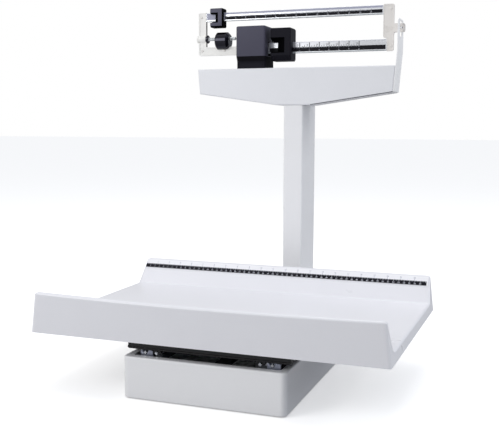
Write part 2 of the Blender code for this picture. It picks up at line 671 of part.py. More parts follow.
def bar_profile(low, high):
    """A flat bar with a thicker rail along its lower edge."""
    half_thin, half_rail, rail = 0.0020, 0.0035, 0.0030
    return [(BEAM_Y - half_rail, low), (BEAM_Y + half_rail, low), (BEAM_Y + half_rail, low + rail),
            (BEAM_Y + half_thin, low + rail), (BEAM_Y + half_thin, high), (BEAM_Y - half_thin, high),
            (BEAM_Y - half_thin, low + rail), (BEAM_Y - half_rail, low + rail)]


def make_beam():
    frame_outline = rounded([
        (LEFT_EDGE, 0.5893, 0.004), (ARM_END, 0.5893), (ARM_END, ARM_TOP), (LEFT_INNER, ARM_TOP, 0.002),
        (LEFT_INNER, 0.679), (LEFT_EDGE, 0.679, 0.004),
    ])
    holes = [circle(x, PIVOT_Z, KNIFE + GAP, 12) for x in (FULCRUM_X, LOAD_X)]
    frame = plate("beam_left_frame", "xz", [frame_outline, *holes], PLATE_FRONT, PLATE_BACK, NICKEL)
    boss = cylinder("zero_boss", "x", (BEAM_Y, ZERO_Z), LEFT_EDGE, LEFT_INNER - 0.0005, 0.0075, NICKEL)
    bore = cylinder("zero_bore", "x", (BEAM_Y, ZERO_Z), LEFT_EDGE - 0.01, LEFT_INNER + 0.01, 0.0039, NICKEL)
    join(frame, boss)
    cut(frame, bore)

    upper = plate("beam_upper_bar", "yz", [bar_profile(*UPPER_BAR)], LEFT_INNER + GAP, 0.1757, BAR)
    lower = plate("beam_lower_bar", "yz", [bar_profile(*LOWER_BAR)], ARM_END + GAP, 0.1833, BAR)
    right_outline = rounded([
        (0.176, 0.6795, 0.001), (0.176, 0.6160, 0.001), (0.1836, 0.6125, 0.001), (0.1836, 0.5887, 0.001),
        (RIGHT_PLATE_EDGE, 0.5887, 0.004), (RIGHT_PLATE_EDGE, 0.6245, 0.003), (TIP_X, 0.6245, 0.004),
        (TIP_X, 0.6415, 0.004), (RIGHT_PLATE_EDGE, 0.6415, 0.001), (RIGHT_PLATE_EDGE, 0.6795, 0.003),
    ])
    right = plate("beam_right_plate", "xz", [right_outline], PLATE_FRONT, PLATE_BACK, NICKEL)
    splice_low = PLATE_BACK + 0.0005 + GAP
    splice = box("beam_splice_plate", (-0.080, splice_low, 0.5910),
                 (-0.0580, splice_low + 0.0025, 0.6060), STEEL)
    fulcrum = knife("beam_fulcrum_knife", "y", (FULCRUM_X, PIVOT_Z), 0.2005, 0.2404)
    load = knife("beam_load_knife", "y", (LOAD_X, PIVOT_Z), 0.2075, 0.2371)
    carried("beam_pivot", (FULCRUM_X, BEAM_Y, PIVOT_Z - KNIFE),
            frame, upper, lower, right, splice, fulcrum, load)


def make_zero_adjuster():
    """A screw in the frame's boss that drives a weight along the beam."""
    rod = cylinder("zero_screw", "x", (BEAM_Y, ZERO_Z), LEFT_EDGE, -0.135, 0.0035, STEEL, sides=20)
    thick, radius, edge = 0.0025, 0.0075, 0.0007
    knob_profile = [(0.0, thick), (radius - edge, thick), (radius, thick - edge), (radius, edge),
                    (radius - edge, 0.0), (0.0, 0.0)]
    knob = turned("zero_knob", "x", (LEFT_EDGE - GAP - thick, BEAM_Y, ZERO_Z), knob_profile, STEEL, steps=24)
    rims = [circle(BEAM_Y, ZERO_Z, 0.0085, 24), circle(BEAM_Y, ZERO_Z, 0.0038, 24)]
    collar = plate("zero_collar", "yz", rims, -0.2012, -0.1972, CHARCOAL)
    carried("zero_screw_pivot", (LEFT_EDGE, BEAM_Y, ZERO_Z), rod, knob, collar)

    middle_z, radius, chamfer = 0.6190, 0.0183, 0.0045
    left, length = -0.1778, 0.0298
    profile = [(0.0, length), (radius - chamfer, length), (radius, length - chamfer), (radius, 0.0025),
               (radius - 0.0025, 0.0), (0.0, 0.0)]
    weight = turned("counterweight", "x", (left, BEAM_Y, middle_z), profile, CHARCOAL, steps=32)
    bore = cylinder("weight_bore", "x", (BEAM_Y, ZERO_Z), -0.193, -0.138, 0.0039, CHARCOAL, sides=20)
    slot = box("weight_slot", (-0.193, PLATE_FRONT - 0.0006, 0.590),
               (-0.138, PLATE_BACK + 0.0006, ARM_TOP + 0.0012), CHARCOAL)
    cut(weight, bore, slot)
    carried("counterweight_pivot", (left + length / 2, BEAM_Y, ZERO_Z), weight)


def bar_slot(name, x_low, x_high, bar):
    """A cutter for the passage of a bar through a poise."""
    low, high = bar
    return box(name, (x_low - 0.01, BEAM_Y - 0.0042, low - 0.0006),
               (x_high + 0.01, BEAM_Y + 0.0042, high + 0.0006), CHARCOAL)


def window_cutter(name, left, right, low, high, edge_x, front, depth_y, taper):
    """A pyramid-like cutter: a window at the poise's face that narrows to the bar."""
    verts = []
    for y, x_end, z_low, z_high in ((front - 0.001, right, low, high),
                                    (depth_y, edge_x, low + taper, high - taper)):
        verts += [(left, y, z_low), (x_end, y, z_low), (x_end, y, z_high), (left, y, z_high)]
    faces = [(3, 2, 1, 0), (4, 5, 6, 7), (0, 1, 5, 4), (1, 2, 6, 5), (2, 3, 7, 6), (3, 0, 4, 7)]
    mesh = bpy.data.meshes.new(name)
    mesh.from_pydata(verts, [], faces)
    made = place(name, mesh, CHARCOAL)
    solid = bmesh.new()
    solid.from_mesh(mesh)
    bmesh.ops.recalc_face_normals(solid, faces=solid.faces)
    solid.to_mesh(mesh)
    solid.free()
    return made


def make_small_poise():
    left, right, low, high = -0.1893, -0.1608, 0.6470, 0.6862
    front, back = 0.2104, 0.2342
    side = rounded([(front + 0.0025, low), (back, low, 0.003), (back, high, 0.003), (front, high, 0.003),
                    (front, low + 0.0030)], 2)
    poise = plate("small_poise", "yz", [side], left, right, CHARCOAL)
    window = window_cutter("small_poise_window", left - 0.004, -0.1700, 0.6567, 0.6776, -0.1795,
                           front, BEAM_Y - 0.001, 0.0)
    cut(poise, bar_slot("small_poise_slot", left, right, UPPER_BAR), window)
    carried("small_poise_pivot", (-0.174, BEAM_Y, 0.6675), poise)


def make_big_poise():
    left, right, low, high = -0.0525, -0.0093, 0.5742, 0.6403
    front, back = 0.2030, 0.2416
    side = rounded([(front + 0.006, low, 0.002), (back, low, 0.004), (back, high, 0.004),
                    (front, high, 0.003), (front, 0.5845, 0.002)], 2)
    poise = plate("big_poise", "yz", [side], left, right, CHARCOAL)
    window = window_cutter("big_poise_window", left - 0.004, -0.0229, 0.5897, 0.6216, -0.0340,
                           front, BEAM_Y - 0.001, 0.0015)
    pocket = box("big_poise_pocket", (-0.0215, BEAM_Y - 0.003, 0.6110),
                 (-0.0135, BEAM_Y + 0.003, 0.6260), CHARCOAL)
    cut(poise, bar_slot("big_poise_slot", left, right, LOWER_BAR), window, pocket)
    pawl = box("big_poise_pawl", (-0.0210, BEAM_Y - 0.0025, LOWER_BAR[1] + GAP),
               (-0.0140, BEAM_Y + 0.0025, 0.6250), STEEL)
    carried("big_poise_pivot", (-0.025, BEAM_Y, 0.600), poise, pawl)


make_base()
make_column()
make_head()
make_trig_loop()
make_fulcrum_cover()
make_fulcrum_stand()
make_transfer_hanger()
carried("platform_pivot", (0.0, 0.0, 0.100), *make_platform(), make_tray(), make_rule())
make_bearing_stands()
make_side_lever("left", -1)
make_side_lever("right", 1)
make_draft_rod(make_main_lever())
make_transfer_lever()
make_beam_link()
make_beam()
make_zero_adjuster()
make_small_poise()
make_big_poise()
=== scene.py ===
"""Looks of the tray beam scale: painted sheet metal, cast beam plates, printed rules and moulded covers.

Every piece is built in the row frame, in metres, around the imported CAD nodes, and rides on their bodies.
"""

import math

import bmesh
import bpy
from mathutils import Matrix, Vector


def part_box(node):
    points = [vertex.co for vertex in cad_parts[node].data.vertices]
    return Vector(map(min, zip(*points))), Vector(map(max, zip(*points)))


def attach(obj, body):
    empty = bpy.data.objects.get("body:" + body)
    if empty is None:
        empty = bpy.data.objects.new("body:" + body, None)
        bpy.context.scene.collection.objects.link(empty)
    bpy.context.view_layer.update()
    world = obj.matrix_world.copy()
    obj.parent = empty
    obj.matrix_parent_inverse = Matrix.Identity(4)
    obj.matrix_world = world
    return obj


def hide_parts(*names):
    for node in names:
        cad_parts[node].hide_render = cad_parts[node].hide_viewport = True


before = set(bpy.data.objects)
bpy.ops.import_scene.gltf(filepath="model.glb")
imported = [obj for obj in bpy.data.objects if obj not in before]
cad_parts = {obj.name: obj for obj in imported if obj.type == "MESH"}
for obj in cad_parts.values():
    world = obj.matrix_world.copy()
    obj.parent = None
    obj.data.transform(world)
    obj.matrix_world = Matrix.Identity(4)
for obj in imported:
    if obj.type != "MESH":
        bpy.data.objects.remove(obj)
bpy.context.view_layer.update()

GAP = 0.0003                   # clearance that the CAD keeps between touching pieces
PRINT = 0.00004                # how far printed ink stands off its surface

FLOOR_PAINT = 0.46             # how much light the floor throws back
FLOOR_SHOWN, FLOOR_LIFT = 0.94, 0.40   # how pale it looks, and its own glow, which the camera alone sees
WORLD_TOP, WORLD_SIDE, WORLD_LOW = 0.66, 0.47, 0.06
WORLD_COOL = (0.80, 0.87, 1.0, 1.0)    # the studio's tint on the right
TOP_POWER, KEY_POWER, FILL_POWER = 15.0, 35.0, 18.0


# ---------------------------------------------------------------- materials
def srgb(red, green, blue):
    """A linear colour from 8-bit display values."""
    return tuple((value / 255) ** 2.2 for value in (red, green, blue))


def settle(node, **sockets):
    """Sets a node's inputs, each named with _ for a space."""
    for socket, value in sockets.items():
        node.inputs[socket.replace("_", " ")].default_value = value


def add_node(tree, kind, **sockets):
    made = tree.nodes.new("ShaderNode" + kind)
    settle(made, **sockets)
    return made


def wire(tree, source, leaving, target, entering):
    tree.links.new(source.outputs[leaving], target.inputs[entering])


def surface(name, color, roughness, metallic=0.0, spread=0.04, grain=900.0, bump=0.03, uneven=0.06,
            stretch=(1.0, 1.0, 1.0), **sockets):
    """A procedural finish: the colour clouds and speckles, the gloss varies and the grain stands up.

    spread is how far the colour varies, grain the speckles per metre, bump their depth in millimetres,
    uneven how far the roughness varies, and stretch draws the grain out along an axis.
    """
    made = bpy.data.materials.new(name)
    made.use_nodes = True
    tree = made.node_tree
    shader = tree.nodes["Principled BSDF"]
    settle(shader, Metallic=metallic, **sockets)

    place = add_node(tree, "TexCoord")
    drawn = add_node(tree, "Mapping", Scale=stretch)
    clouds = add_node(tree, "TexNoise", Scale=14.0, Detail=3.0)
    speckle = add_node(tree, "TexNoise", Scale=grain, Detail=2.0)
    wire(tree, place, "Object", drawn, "Vector")
    wire(tree, place, "Object", clouds, "Vector")
    wire(tree, drawn, "Vector", speckle, "Vector")

    blend = add_node(tree, "Mix", Factor=0.5)
    tint = add_node(tree, "ValToRGB")
    dark, pale = tint.color_ramp.elements
    dark.position, pale.position = 0.3, 0.7
    dark.color = (*(value * (1 - spread) for value in color), 1.0)
    pale.color = (*(min(1.0, value * (1 + spread)) for value in color), 1.0)
    wire(tree, clouds, "Fac", blend, "A")
    wire(tree, speckle, "Fac", blend, "B")
    wire(tree, blend, "Result", tint, "Fac")
    wire(tree, tint, "Color", shader, "Base Color")

    gloss = add_node(tree, "MapRange", To_Min=max(0.02, roughness - uneven),
                     To_Max=min(1.0, roughness + uneven))
    wire(tree, clouds, "Fac", gloss, "Value")
    wire(tree, gloss, "Result", shader, "Roughness")

    relief = add_node(tree, "Bump", Strength=0.6, Distance=bump / 1000)
    wire(tree, speckle, "Fac", relief, "Height")
    wire(tree, relief, "Normal", shader, "Normal")
    return made


ENAMEL = {"spread": 0.012, "grain": 700, "bump": 0.012}
PRINTED = {"grain": 1500, "bump": 0.004}
WHITE = surface("white_enamel", srgb(229, 229, 233), 0.36, **ENAMEL)
# Painted light: the next three are brighter copies of the white enamel, for the base and column, the head
# and the trig loop, standing for light that the lamps do not give them.
LIT_BASE_WHITE = surface("base_enamel_painted_light", srgb(243, 243, 245), 0.36, **ENAMEL)
LIT_HEAD_WHITE = surface("head_enamel_painted_light", srgb(236, 237, 241), 0.36, **ENAMEL)
LIT_LOOP_WHITE = surface("loop_enamel_painted_light", srgb(254, 254, 255), 0.36, **ENAMEL)
TRAY_WHITE = surface("tray_enamel", srgb(231, 231, 236), 0.30, spread=0.012, grain=520, bump=0.014)
BLACK = surface("black_enamel", srgb(26, 25, 28), 0.34, spread=0.15, grain=600, bump=0.02)
BLUE_SHEEN = (0.80, 0.80, 1.0, 1.0)
# Painted shade: a near-black stand-in for the shade on the cover's slanted underside.
COVER_SLANT_SHADE = surface("charcoal_slant_shade", srgb(14, 13, 20), 0.7, spread=0.14, grain=1500, bump=0.09,
                     Specular_IOR_Level=0.12)
MOULDED = surface("charcoal_moulding", srgb(38, 36, 50), 0.55, spread=0.16, grain=1500, bump=0.09,
                  Specular_IOR_Level=1.0, Specular_Tint=BLUE_SHEEN)
POISE = surface("charcoal_poise", srgb(15, 14, 19), 0.50, spread=0.14, grain=1100, bump=0.05,
                Specular_IOR_Level=0.18, Specular_Tint=BLUE_SHEEN)
SMALL_POISE = surface("small_poise_paint", srgb(38, 37, 52), 0.50, spread=0.14, grain=1100, bump=0.05,
                      Specular_IOR_Level=1.0, Specular_Tint=BLUE_SHEEN)
# Painted shade: a greyer enamel for the head's underside, standing for the shade below it.
UNDERSIDE_SHADE = surface("shaded_enamel", srgb(92, 94, 100), 0.6, spread=0.05, grain=700, bump=0.012)
# Painted shade: a near-black stand-in for the shade inside windows, on undersides and on edges out of the
# light.
PAINTED_SHADE = surface("painted_shade_recess", srgb(8, 8, 11), 0.85, spread=0.2, grain=900, bump=0.02,
                 Specular_IOR_Level=0.05)
WEIGHT = surface("weight_paint", srgb(13, 12, 17), 0.16, spread=0.14, grain=900, bump=0.015,
                 Specular_IOR_Level=0.52, Specular_Tint=BLUE_SHEEN)
CAST = surface("cast_plate", srgb(232, 228, 224), 0.45, 0.15, spread=0.05, grain=1300, bump=0.05)
PALE_CAST = surface("pale_cast_plate", srgb(255, 252, 248), 0.45, 0.0, spread=0.03, grain=1300, bump=0.04)
PALE_STEEL = surface("pale_plating", srgb(232, 236, 238), 0.32, 0.55, spread=0.05, grain=900, bump=0.01)
BAR = surface("bar_metal", srgb(236, 238, 243), 0.28, 0.70, spread=0.05, grain=1600, bump=0.01,
              stretch=(0.02, 1.0, 1.0))
BAND = surface("bar_band", srgb(18, 18, 26), 0.55, spread=0.10, grain=900, bump=0.01,
               Specular_IOR_Level=0.2)
STEEL = surface("plated_steel", srgb(190, 192, 198), 0.25, 1.0, spread=0.06, grain=800, bump=0.01)
BRACKET = surface("bracket_steel", srgb(158, 162, 178), 0.38, 0.7, spread=0.08, grain=900, bump=0.02)
IRON = surface("cast_iron", srgb(92, 94, 98), 0.62, 0.5, spread=0.16, grain=800, bump=0.12)
RUBBER = surface("foot_rubber", srgb(28, 28, 30), 0.78, spread=0.15, grain=900, bump=0.04)
STRIP = surface("rule_strip", srgb(240, 240, 244), 0.42, spread=0.012, grain=900, bump=0.004)
INK = surface("black_ink", srgb(13, 13, 24), 0.55, spread=0.12, **PRINTED,
              Specular_IOR_Level=0.2)
GREY_INK = surface("grey_ink", srgb(122, 126, 148), 0.48, spread=0.08, **PRINTED)
# Painted shade: a dark teal line standing for the shaded lower edge of each bar.
EDGE_SHADE = surface("edge_painted_shade", srgb(92, 112, 108), 0.48, spread=0.08, **PRINTED)
# Painted shade: a grey standing for the shaded tone of the bar's metal, under the top edge and at the upper
# bar's left end.
CAP_SHADE = surface("cap_painted_shade", srgb(168, 170, 190), 0.48, spread=0.06, **PRINTED)
WHITE_INK = surface("white_ink", srgb(222, 224, 234), 0.48, spread=0.02, **PRINTED)


# ---------------------------------------------------------------- shape helpers
def put(name, mesh):
    made = bpy.data.objects.new(name, mesh)
    bpy.context.scene.collection.objects.link(made)
    return made


def shape(name, verts, faces):
    mesh = bpy.data.meshes.new(name)
    mesh.from_pydata([tuple(vert) for vert in verts], [], faces)
    tidy(mesh)
    return put(name, mesh)


def tidy(mesh, merge=1e-6):
    """Merges double points and turns the faces outwards."""
    work = bmesh.new()
    work.from_mesh(mesh)
    bmesh.ops.remove_doubles(work, verts=work.verts, dist=merge)
    bmesh.ops.recalc_face_normals(work, faces=work.faces)
    work.to_mesh(mesh)
    work.free()


def apply(obj):
    """Turns an object's modifiers into plain mesh."""
    bpy.context.view_layer.update()
    mesh = bpy.data.meshes.new_from_object(obj.evaluated_get(bpy.context.evaluated_depsgraph_get()))
    obj.modifiers.clear()
    obj.data = mesh
    return obj


def boolean(target, tool, operation):
    step = target.modifiers.new(operation, "BOOLEAN")
    step.operation = operation
    step.solver = "EXACT"
    step.object = tool
    apply(target)
    bpy.data.objects.remove(tool, do_unlink=True)
    return target


def cut(target, *tools):
    for tool in tools:
        boolean(target, tool, "DIFFERENCE")
    return target


def join(target, *pieces):
    for piece in pieces:
        boolean(target, piece, "UNION")
    return target


def soften(obj, width, segments=2, angle=30):
    """Rounds every edge sharper than angle, and shades the result smooth across the rounding."""
    step = obj.modifiers.new("edges", "BEVEL")
    step.width = width
    step.segments = segments
    step.limit_method = "ANGLE"
    step.angle_limit = math.radians(angle)
    return shade(apply(obj))


def shade(obj, angle=38):
    mesh = obj.data
    mesh.shade_smooth()
    mesh.set_sharp_from_angle(angle=math.radians(angle))
    weights = obj.modifiers.new("face_weights", "WEIGHTED_NORMAL")
    weights.keep_sharp = True
    return obj


def fit(obj, look, body, slot, *stands_for):
    """Gives a piece its finish and its body, and hides the CAD nodes it stands for. slot is not used."""
    obj.data.materials.clear()
    obj.data.materials.append(look)
    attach(obj, body)
    if stands_for:
        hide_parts(*stands_for)
    return obj


def darken(obj, chosen, look=PAINTED_SHADE):
    """Paints shade: gives the faces that chosen picks, by their middle and direction, a second and darker
    material that stands for shade.
    """
    obj.data.materials.append(look)
    for face in obj.data.polygons:
        if chosen(face.center, face.normal):
            face.material_index = len(obj.data.materials) - 1


def loft(name, loops):
    """A closed solid through loops of equally many points, capped at both ends."""
    count = len(loops[0])
    verts = [point for loop in loops for point in loop]
    faces = [tuple(range(count)), tuple(range(len(verts) - count, len(verts)))]
    for first in range(0, len(verts) - count, count):
        for step in range(count):
            after = (step + 1) % count
            faces.append((first + step, first + after, first + count + after, first + count + step))
    return shape(name, verts, faces)


def rounded(corners, steps=6):
    """An outline from (a, b) or (a, b, radius) corners, with the round ones as arcs."""
    outline = []
    count = len(corners)
    for index, corner in enumerate(corners):
        here = Vector(corner[:2])
        radius = corner[2] if len(corner) > 2 else 0.0
        if not radius:
            outline.append(tuple(here))
            continue
        before = (Vector(corners[index - 1][:2]) - here).normalized()
        after = (Vector(corners[(index + 1) % count][:2]) - here).normalized()
        half = math.acos(max(-1.0, min(1.0, before.dot(after)))) / 2
        centre = here + (before + after).normalized() * radius / math.sin(half)
        start = here + before * radius / math.tan(half) - centre
        turn = start.angle_signed(here + after * radius / math.tan(half) - centre)
        for step in range(steps + 1):
            point = start.copy()
            point.rotate(Matrix.Rotation(-turn * step / steps, 2))
            outline.append(tuple(centre + point))
    return outline


def rectangle(a_low, a_high, b_low, b_high, radius=0.0, steps=6):
    corners = ((a_low, b_low), (a_high, b_low), (a_high, b_high), (a_low, b_high))
    return rounded([(a, b, radius) for a, b in corners], steps)


def box_ring(low, high, inset, z, radius):
    """A box's outline at one height, smaller by inset on every side."""
    return [(x, y, z) for x, y in rectangle(low.x + inset, high.x - inset,
                                            low.y + inset, high.y - inset, radius)]


def quarter(radius, steps):
    """A rounded edge's inset and drop, from its side round to its top."""
    turns = [math.radians(90 * step / steps) for step in range(steps + 1)]
    return [(radius * (1 - math.cos(turn)), radius * (1 - math.sin(turn))) for turn in turns]


def circle(a, b, radius, count=32):
    turns = [math.tau * step / count for step in range(count)]
    return [(a + radius * math.cos(turn), b + radius * math.sin(turn)) for turn in turns]


SPREAD = {                     # a flat outline's a, b and height c as a world point
    "xy": lambda a, b, c: (a, b, c),
    "xz": lambda a, b, c: (a, c, b),
    "yz": lambda a, b, c: (c, a, b),
}


def block(name, low, high):
    a, b, c = (sorted(pair) for pair in zip(low, high))
    return loft(name, [[(x, y, z) for x, y in rectangle(*a, *b)] for z in c])


def prism(name, plane, outline, low, high):
    spread = SPREAD[plane]
    return loft(name, [[spread(a, b, c) for a, b in outline] for c in (low, high)])


def plate(name, plane, outline, holes, low, high):
    """A flat outline extruded from low to high, with holes cut through it."""
    made = prism(name, plane, outline, low, high)
    for index, hole in enumerate(holes):
        cut(made, prism(f"{name}_hole_{index}", plane, hole, low - 0.01, high + 0.01))
    return made


def turned(name, axis, at, profile, count=48):
    """A turned piece: (radius, distance along axis) pairs from one end's middle to the other's."""
    plane = {"x": "yz", "y": "xz", "z": "xy"}[axis]
    spread = SPREAD[plane]
    loops = []
    for radius, along in profile:
        loops.append([Vector(at) + Vector(spread(a, b, along)) for a, b in circle(0.0, 0.0, radius, count)])
    return loft(name, loops)


def bore(name, y, z, radius, low_x, high_x):
    """A round cutter along X, past both ends of what it cuts."""
    return turned(name, "x", (0.0, y, z), [(radius, low_x - 0.01), (radius, high_x + 0.01)], 32)


def together(name, pieces):
    """Several closed shapes as one object, left as separate shells."""
    work = bmesh.new()
    for piece in pieces:
        work.from_mesh(piece.data)
        bpy.data.objects.remove(piece, do_unlink=True)
    mesh = bpy.data.meshes.new(name)
    work.to_mesh(mesh)
    work.free()
    return put(name, mesh)


# ---------------------------------------------------------------- print: ticks and numerals
class Sheet:
    """Flat ink on a plane, from its corner, the direction that print runs in and the way up."""

    def __init__(self, corner, along, up):
        self.along, self.up = Vector(along).normalized(), Vector(up).normalized()
        self.out = self.along.cross(self.up)
        self.corner = Vector(corner)
        self.work = bmesh.new()

    def mark(self, left, low, width, height):
        """A printed bar."""
        right, high = left + width, low + height
        verts = []
        for lift in (0.0, PRINT):
            for a, b in ((left, low), (right, low), (right, high), (left, high)):
                verts.append(self.work.verts.new(
                    self.corner + self.along * a + self.up * b + self.out * lift))
        for face in ((3, 2, 1, 0), (4, 5, 6, 7), (0, 1, 5, 4), (1, 2, 6, 5), (2, 3, 7, 6), (3, 0, 4, 7)):
            self.work.faces.new([verts[index] for index in face])

    def words(self, text, middle, low, size):
        """A numeral whose capital height is size, centred on middle."""
        curve = bpy.data.curves.new("numeral", "FONT")
        curve.body = text
        curve.size = size / 0.7
        curve.resolution_u = 2
        curve.extrude = PRINT / 2
        curve.align_x = "CENTER"
        drawn = bpy.data.objects.new("numeral", curve)
        bpy.context.scene.collection.objects.link(drawn)
        bpy.context.view_layer.update()
        mesh = bpy.data.meshes.new_from_object(drawn.evaluated_get(bpy.context.evaluated_depsgraph_get()))
        spot = self.corner + self.along * middle + self.up * low + self.out * PRINT / 2
        turn = Matrix((self.along, self.up, self.out)).transposed().to_4x4()
        mesh.transform(Matrix.Translation(spot) @ turn)
        self.work.from_mesh(mesh)
        bpy.data.objects.remove(drawn, do_unlink=True)

    def done(self, name, look, body, slot):
        mesh = bpy.data.meshes.new(name)
        bmesh.ops.remove_doubles(self.work, verts=self.work.verts, dist=1e-6)
        self.work.to_mesh(mesh)
        self.work.free()
        return fit(put(name, mesh), look, body, slot)


# ---------------------------------------------------------------- base, feet, column
def make_base():
    low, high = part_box("base_shell")
    sheet, corner, brow = 0.0015, 0.010, 0.0030
    _, platform_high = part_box("platform")

    def ring(inset, z):
        return box_ring(low, high, inset, z, max(0.001, corner - inset))

    rim, front_rim = 0.0135, 0.0145    # width of the top's rim beside the opening and before it
    opening_back = platform_high.y + 0.006

    def mouth(grow, z):
        return [(x, y, z) for x, y in rectangle(low.x + rim - grow, high.x - rim + grow,
                                                low.y + front_rim - grow, opening_back + grow,
                                                0.004 + grow)]

    loops = [ring(0.0012, low.z), ring(0.0, low.z + 0.0012)]
    loops += [ring(inset, high.z - drop) for inset, drop in quarter(brow, 5)]
    loops += [mouth(0.0008, high.z), mouth(0.0, high.z - 0.0006), mouth(0.0, high.z - sheet)]
    loops += [ring(sheet, high.z - sheet), ring(sheet, low.z + sheet)]
    shell = loft("base_body", loops)
    rod_low, rod_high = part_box("draft_rod")
    cut(shell, block("rod_hole", (rod_low.x - 0.005, rod_low.y - 0.006, high.z - 0.004),
                     (rod_high.x + 0.005, rod_high.y + 0.006, high.z + 0.004)))
    # Painted light: the base gets the brighter copy of the white enamel.
    fit(shade(shell), LIT_BASE_WHITE, "stand", "white_paint", "base_shell")

    for node in ("foot_front_left", "foot_front_right", "foot_rear_left", "foot_rear_right"):
        low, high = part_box(node)
        radius, tall = (high.x - low.x) / 2, high.z - low.z
        profile = [(radius * 0.90, 0.0), (radius * 0.97, tall * 0.12), (radius, tall * 0.5),
                   (radius * 0.88, tall * 0.9), (radius * 0.84, tall)]
        middle = (low + high) / 2
        foot = turned(node.replace("foot", "rubber_foot"), "z", (middle.x, middle.y, low.z), profile, 40)
        fit(shade(foot), RUBBER, "stand", "rubber", node)


def make_column():
    low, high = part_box("column")
    wall, corner = 0.0016, 0.0030

    def outline(inset, radius):
        return rectangle(low.x + inset, high.x - inset, low.y + inset, high.y - inset, radius)

    tube = plate("column_tube", "xy", outline(0.0, corner), [outline(wall, corner - wall)], low.z, high.z)
    # Painted light: the column gets the brighter copy of the white enamel.
    fit(shade(tube), LIT_BASE_WHITE, "stand", "white_paint", "column")
    low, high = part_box("column_cap")
    cap = soften(block("column_end_cap", low, high), 0.0012, 3)
    fit(cap, WHITE, "stand", "white_paint", "column_cap")


# ---------------------------------------------------------------- head
def head_outline(inset, lift=0.0):
    """The head's trapezoid front, smaller by inset on every side."""
    low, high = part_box("head_shell")
    flat, end_drop, lean = 0.0358, 0.0513, 0.0042
    side = inset * 1.07
    return rounded([
        (low.x + side, high.z - inset, 0.002),
        (low.x + lean + side, high.z - end_drop + inset * 0.86, 0.002),
        (-flat, low.z + inset + lift, 0.003),
        (flat, low.z + inset + lift, 0.003),
        (high.x - lean - side, high.z - end_drop + inset * 0.86, 0.002),
        (high.x - side, high.z - inset, 0.002),
    ], 4)


def make_head():
    low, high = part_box("head_shell")
    sheet, brow = 0.0015, 0.0022
    loops = [(drop, low.y + inset) for inset, drop in quarter(brow, 4)]
    loops += [(0.0, high.y), (sheet, high.y), (sheet, low.y + sheet)]
    case = loft("head_case", [[(x, y, z) for x, z in head_outline(inset)] for inset, y in loops])
    link_low, link_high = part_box("beam_link")
    rod_low, rod_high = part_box("draft_rod")
    slot = block("link_slot", (link_low.x - 0.002, link_low.y - 0.004, high.z - 0.005),
                 (link_high.x + 0.002, link_high.y + 0.004, high.z + 0.005))
    hole = block("rod_hole", (rod_low.x - 0.0018, rod_low.y - 0.002, low.z - 0.004),
                 (rod_high.x + 0.0018, rod_high.y + 0.002, low.z + 0.004))
    # Painted light: the head gets a brighter copy of the white enamel.
    fit(shade(cut(case, slot, hole)), LIT_HEAD_WHITE, "stand", "white_paint", "head_shell")
    # Painted shade on the head's downward faces at the right front.
    darken(case, lambda at, facing: facing.z < -0.3 and at.x > 0.036 and at.y < low.y + 0.004, UNDERSIDE_SHADE)

    low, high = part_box("head_back_cover")
    cover = prism("head_rear_cover", "xz", head_outline(0.0), low.y, high.y)
    fit(soften(cover, 0.0004), WHITE, "stand", "white_paint", "head_back_cover")
    for node in ("cover_screw_left", "cover_screw_right"):
        low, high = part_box(node)
        middle = (low + high) / 2
        radius, tall = (high.x - low.x) / 2, high.y - low.y
        profile = [(radius, 0.0), (radius * 0.98, tall * 0.35), (radius * 0.80, tall * 0.80),
                   (radius * 0.50, tall)]
        head = turned(node + "_head", "y", (middle.x, low.y, middle.z), profile, 32)
        across, narrow = radius * 1.1, radius * 0.22
        recess = [(across, narrow), (narrow, across)]
        tools = [block(f"{node}_recess_{index}", (middle.x - a / 2, low.y + tall * 0.45, middle.z - b / 2),
                       (middle.x + a / 2, high.y + 0.001, middle.z + b / 2))
                 for index, (a, b) in enumerate(recess)]
        fit(shade(cut(head, *tools)), STEEL, "stand", "bright_steel", node)


def make_trig_loop():
    """The plate on the head's end: it leans with the head, then stands upright beside the beam's tip."""
    low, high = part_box("trig_loop")
    head_low, head_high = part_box("head_shell")
    thick, bend, lean = 0.0015, 0.588, 0.081
    neck = 0.600
    outline = rounded([
        (head_low.y, low.z), (head_high.y + 0.0015, low.z), (head_high.y + 0.0015, neck), (high.y, neck),
        (high.y, high.z, 0.009), (head_low.y, high.z, 0.009),
    ], 8)
    window = rectangle(0.2125, 0.2375, 0.6160, 0.6463, 0.003)
    loop = plate("trig_loop_plate", "yz", outline, [window], 0.0, thick)
    work = bmesh.new()
    work.from_mesh(loop.data)
    bmesh.ops.bisect_plane(work, geom=work.verts[:] + work.edges[:] + work.faces[:],
                           plane_co=(0, 0, bend), plane_no=(0, 0, 1))
    for vert in work.verts:
        vert.co.x += head_high.x + GAP - lean * (head_high.z - min(vert.co.z, bend))
    work.to_mesh(loop.data)
    work.free()
    # Painted light: the trig loop gets the brightest copy of the white enamel.
    fit(soften(loop, 0.0004, 2, 40), LIT_LOOP_WHITE, "stand", "white_paint", "trig_loop")


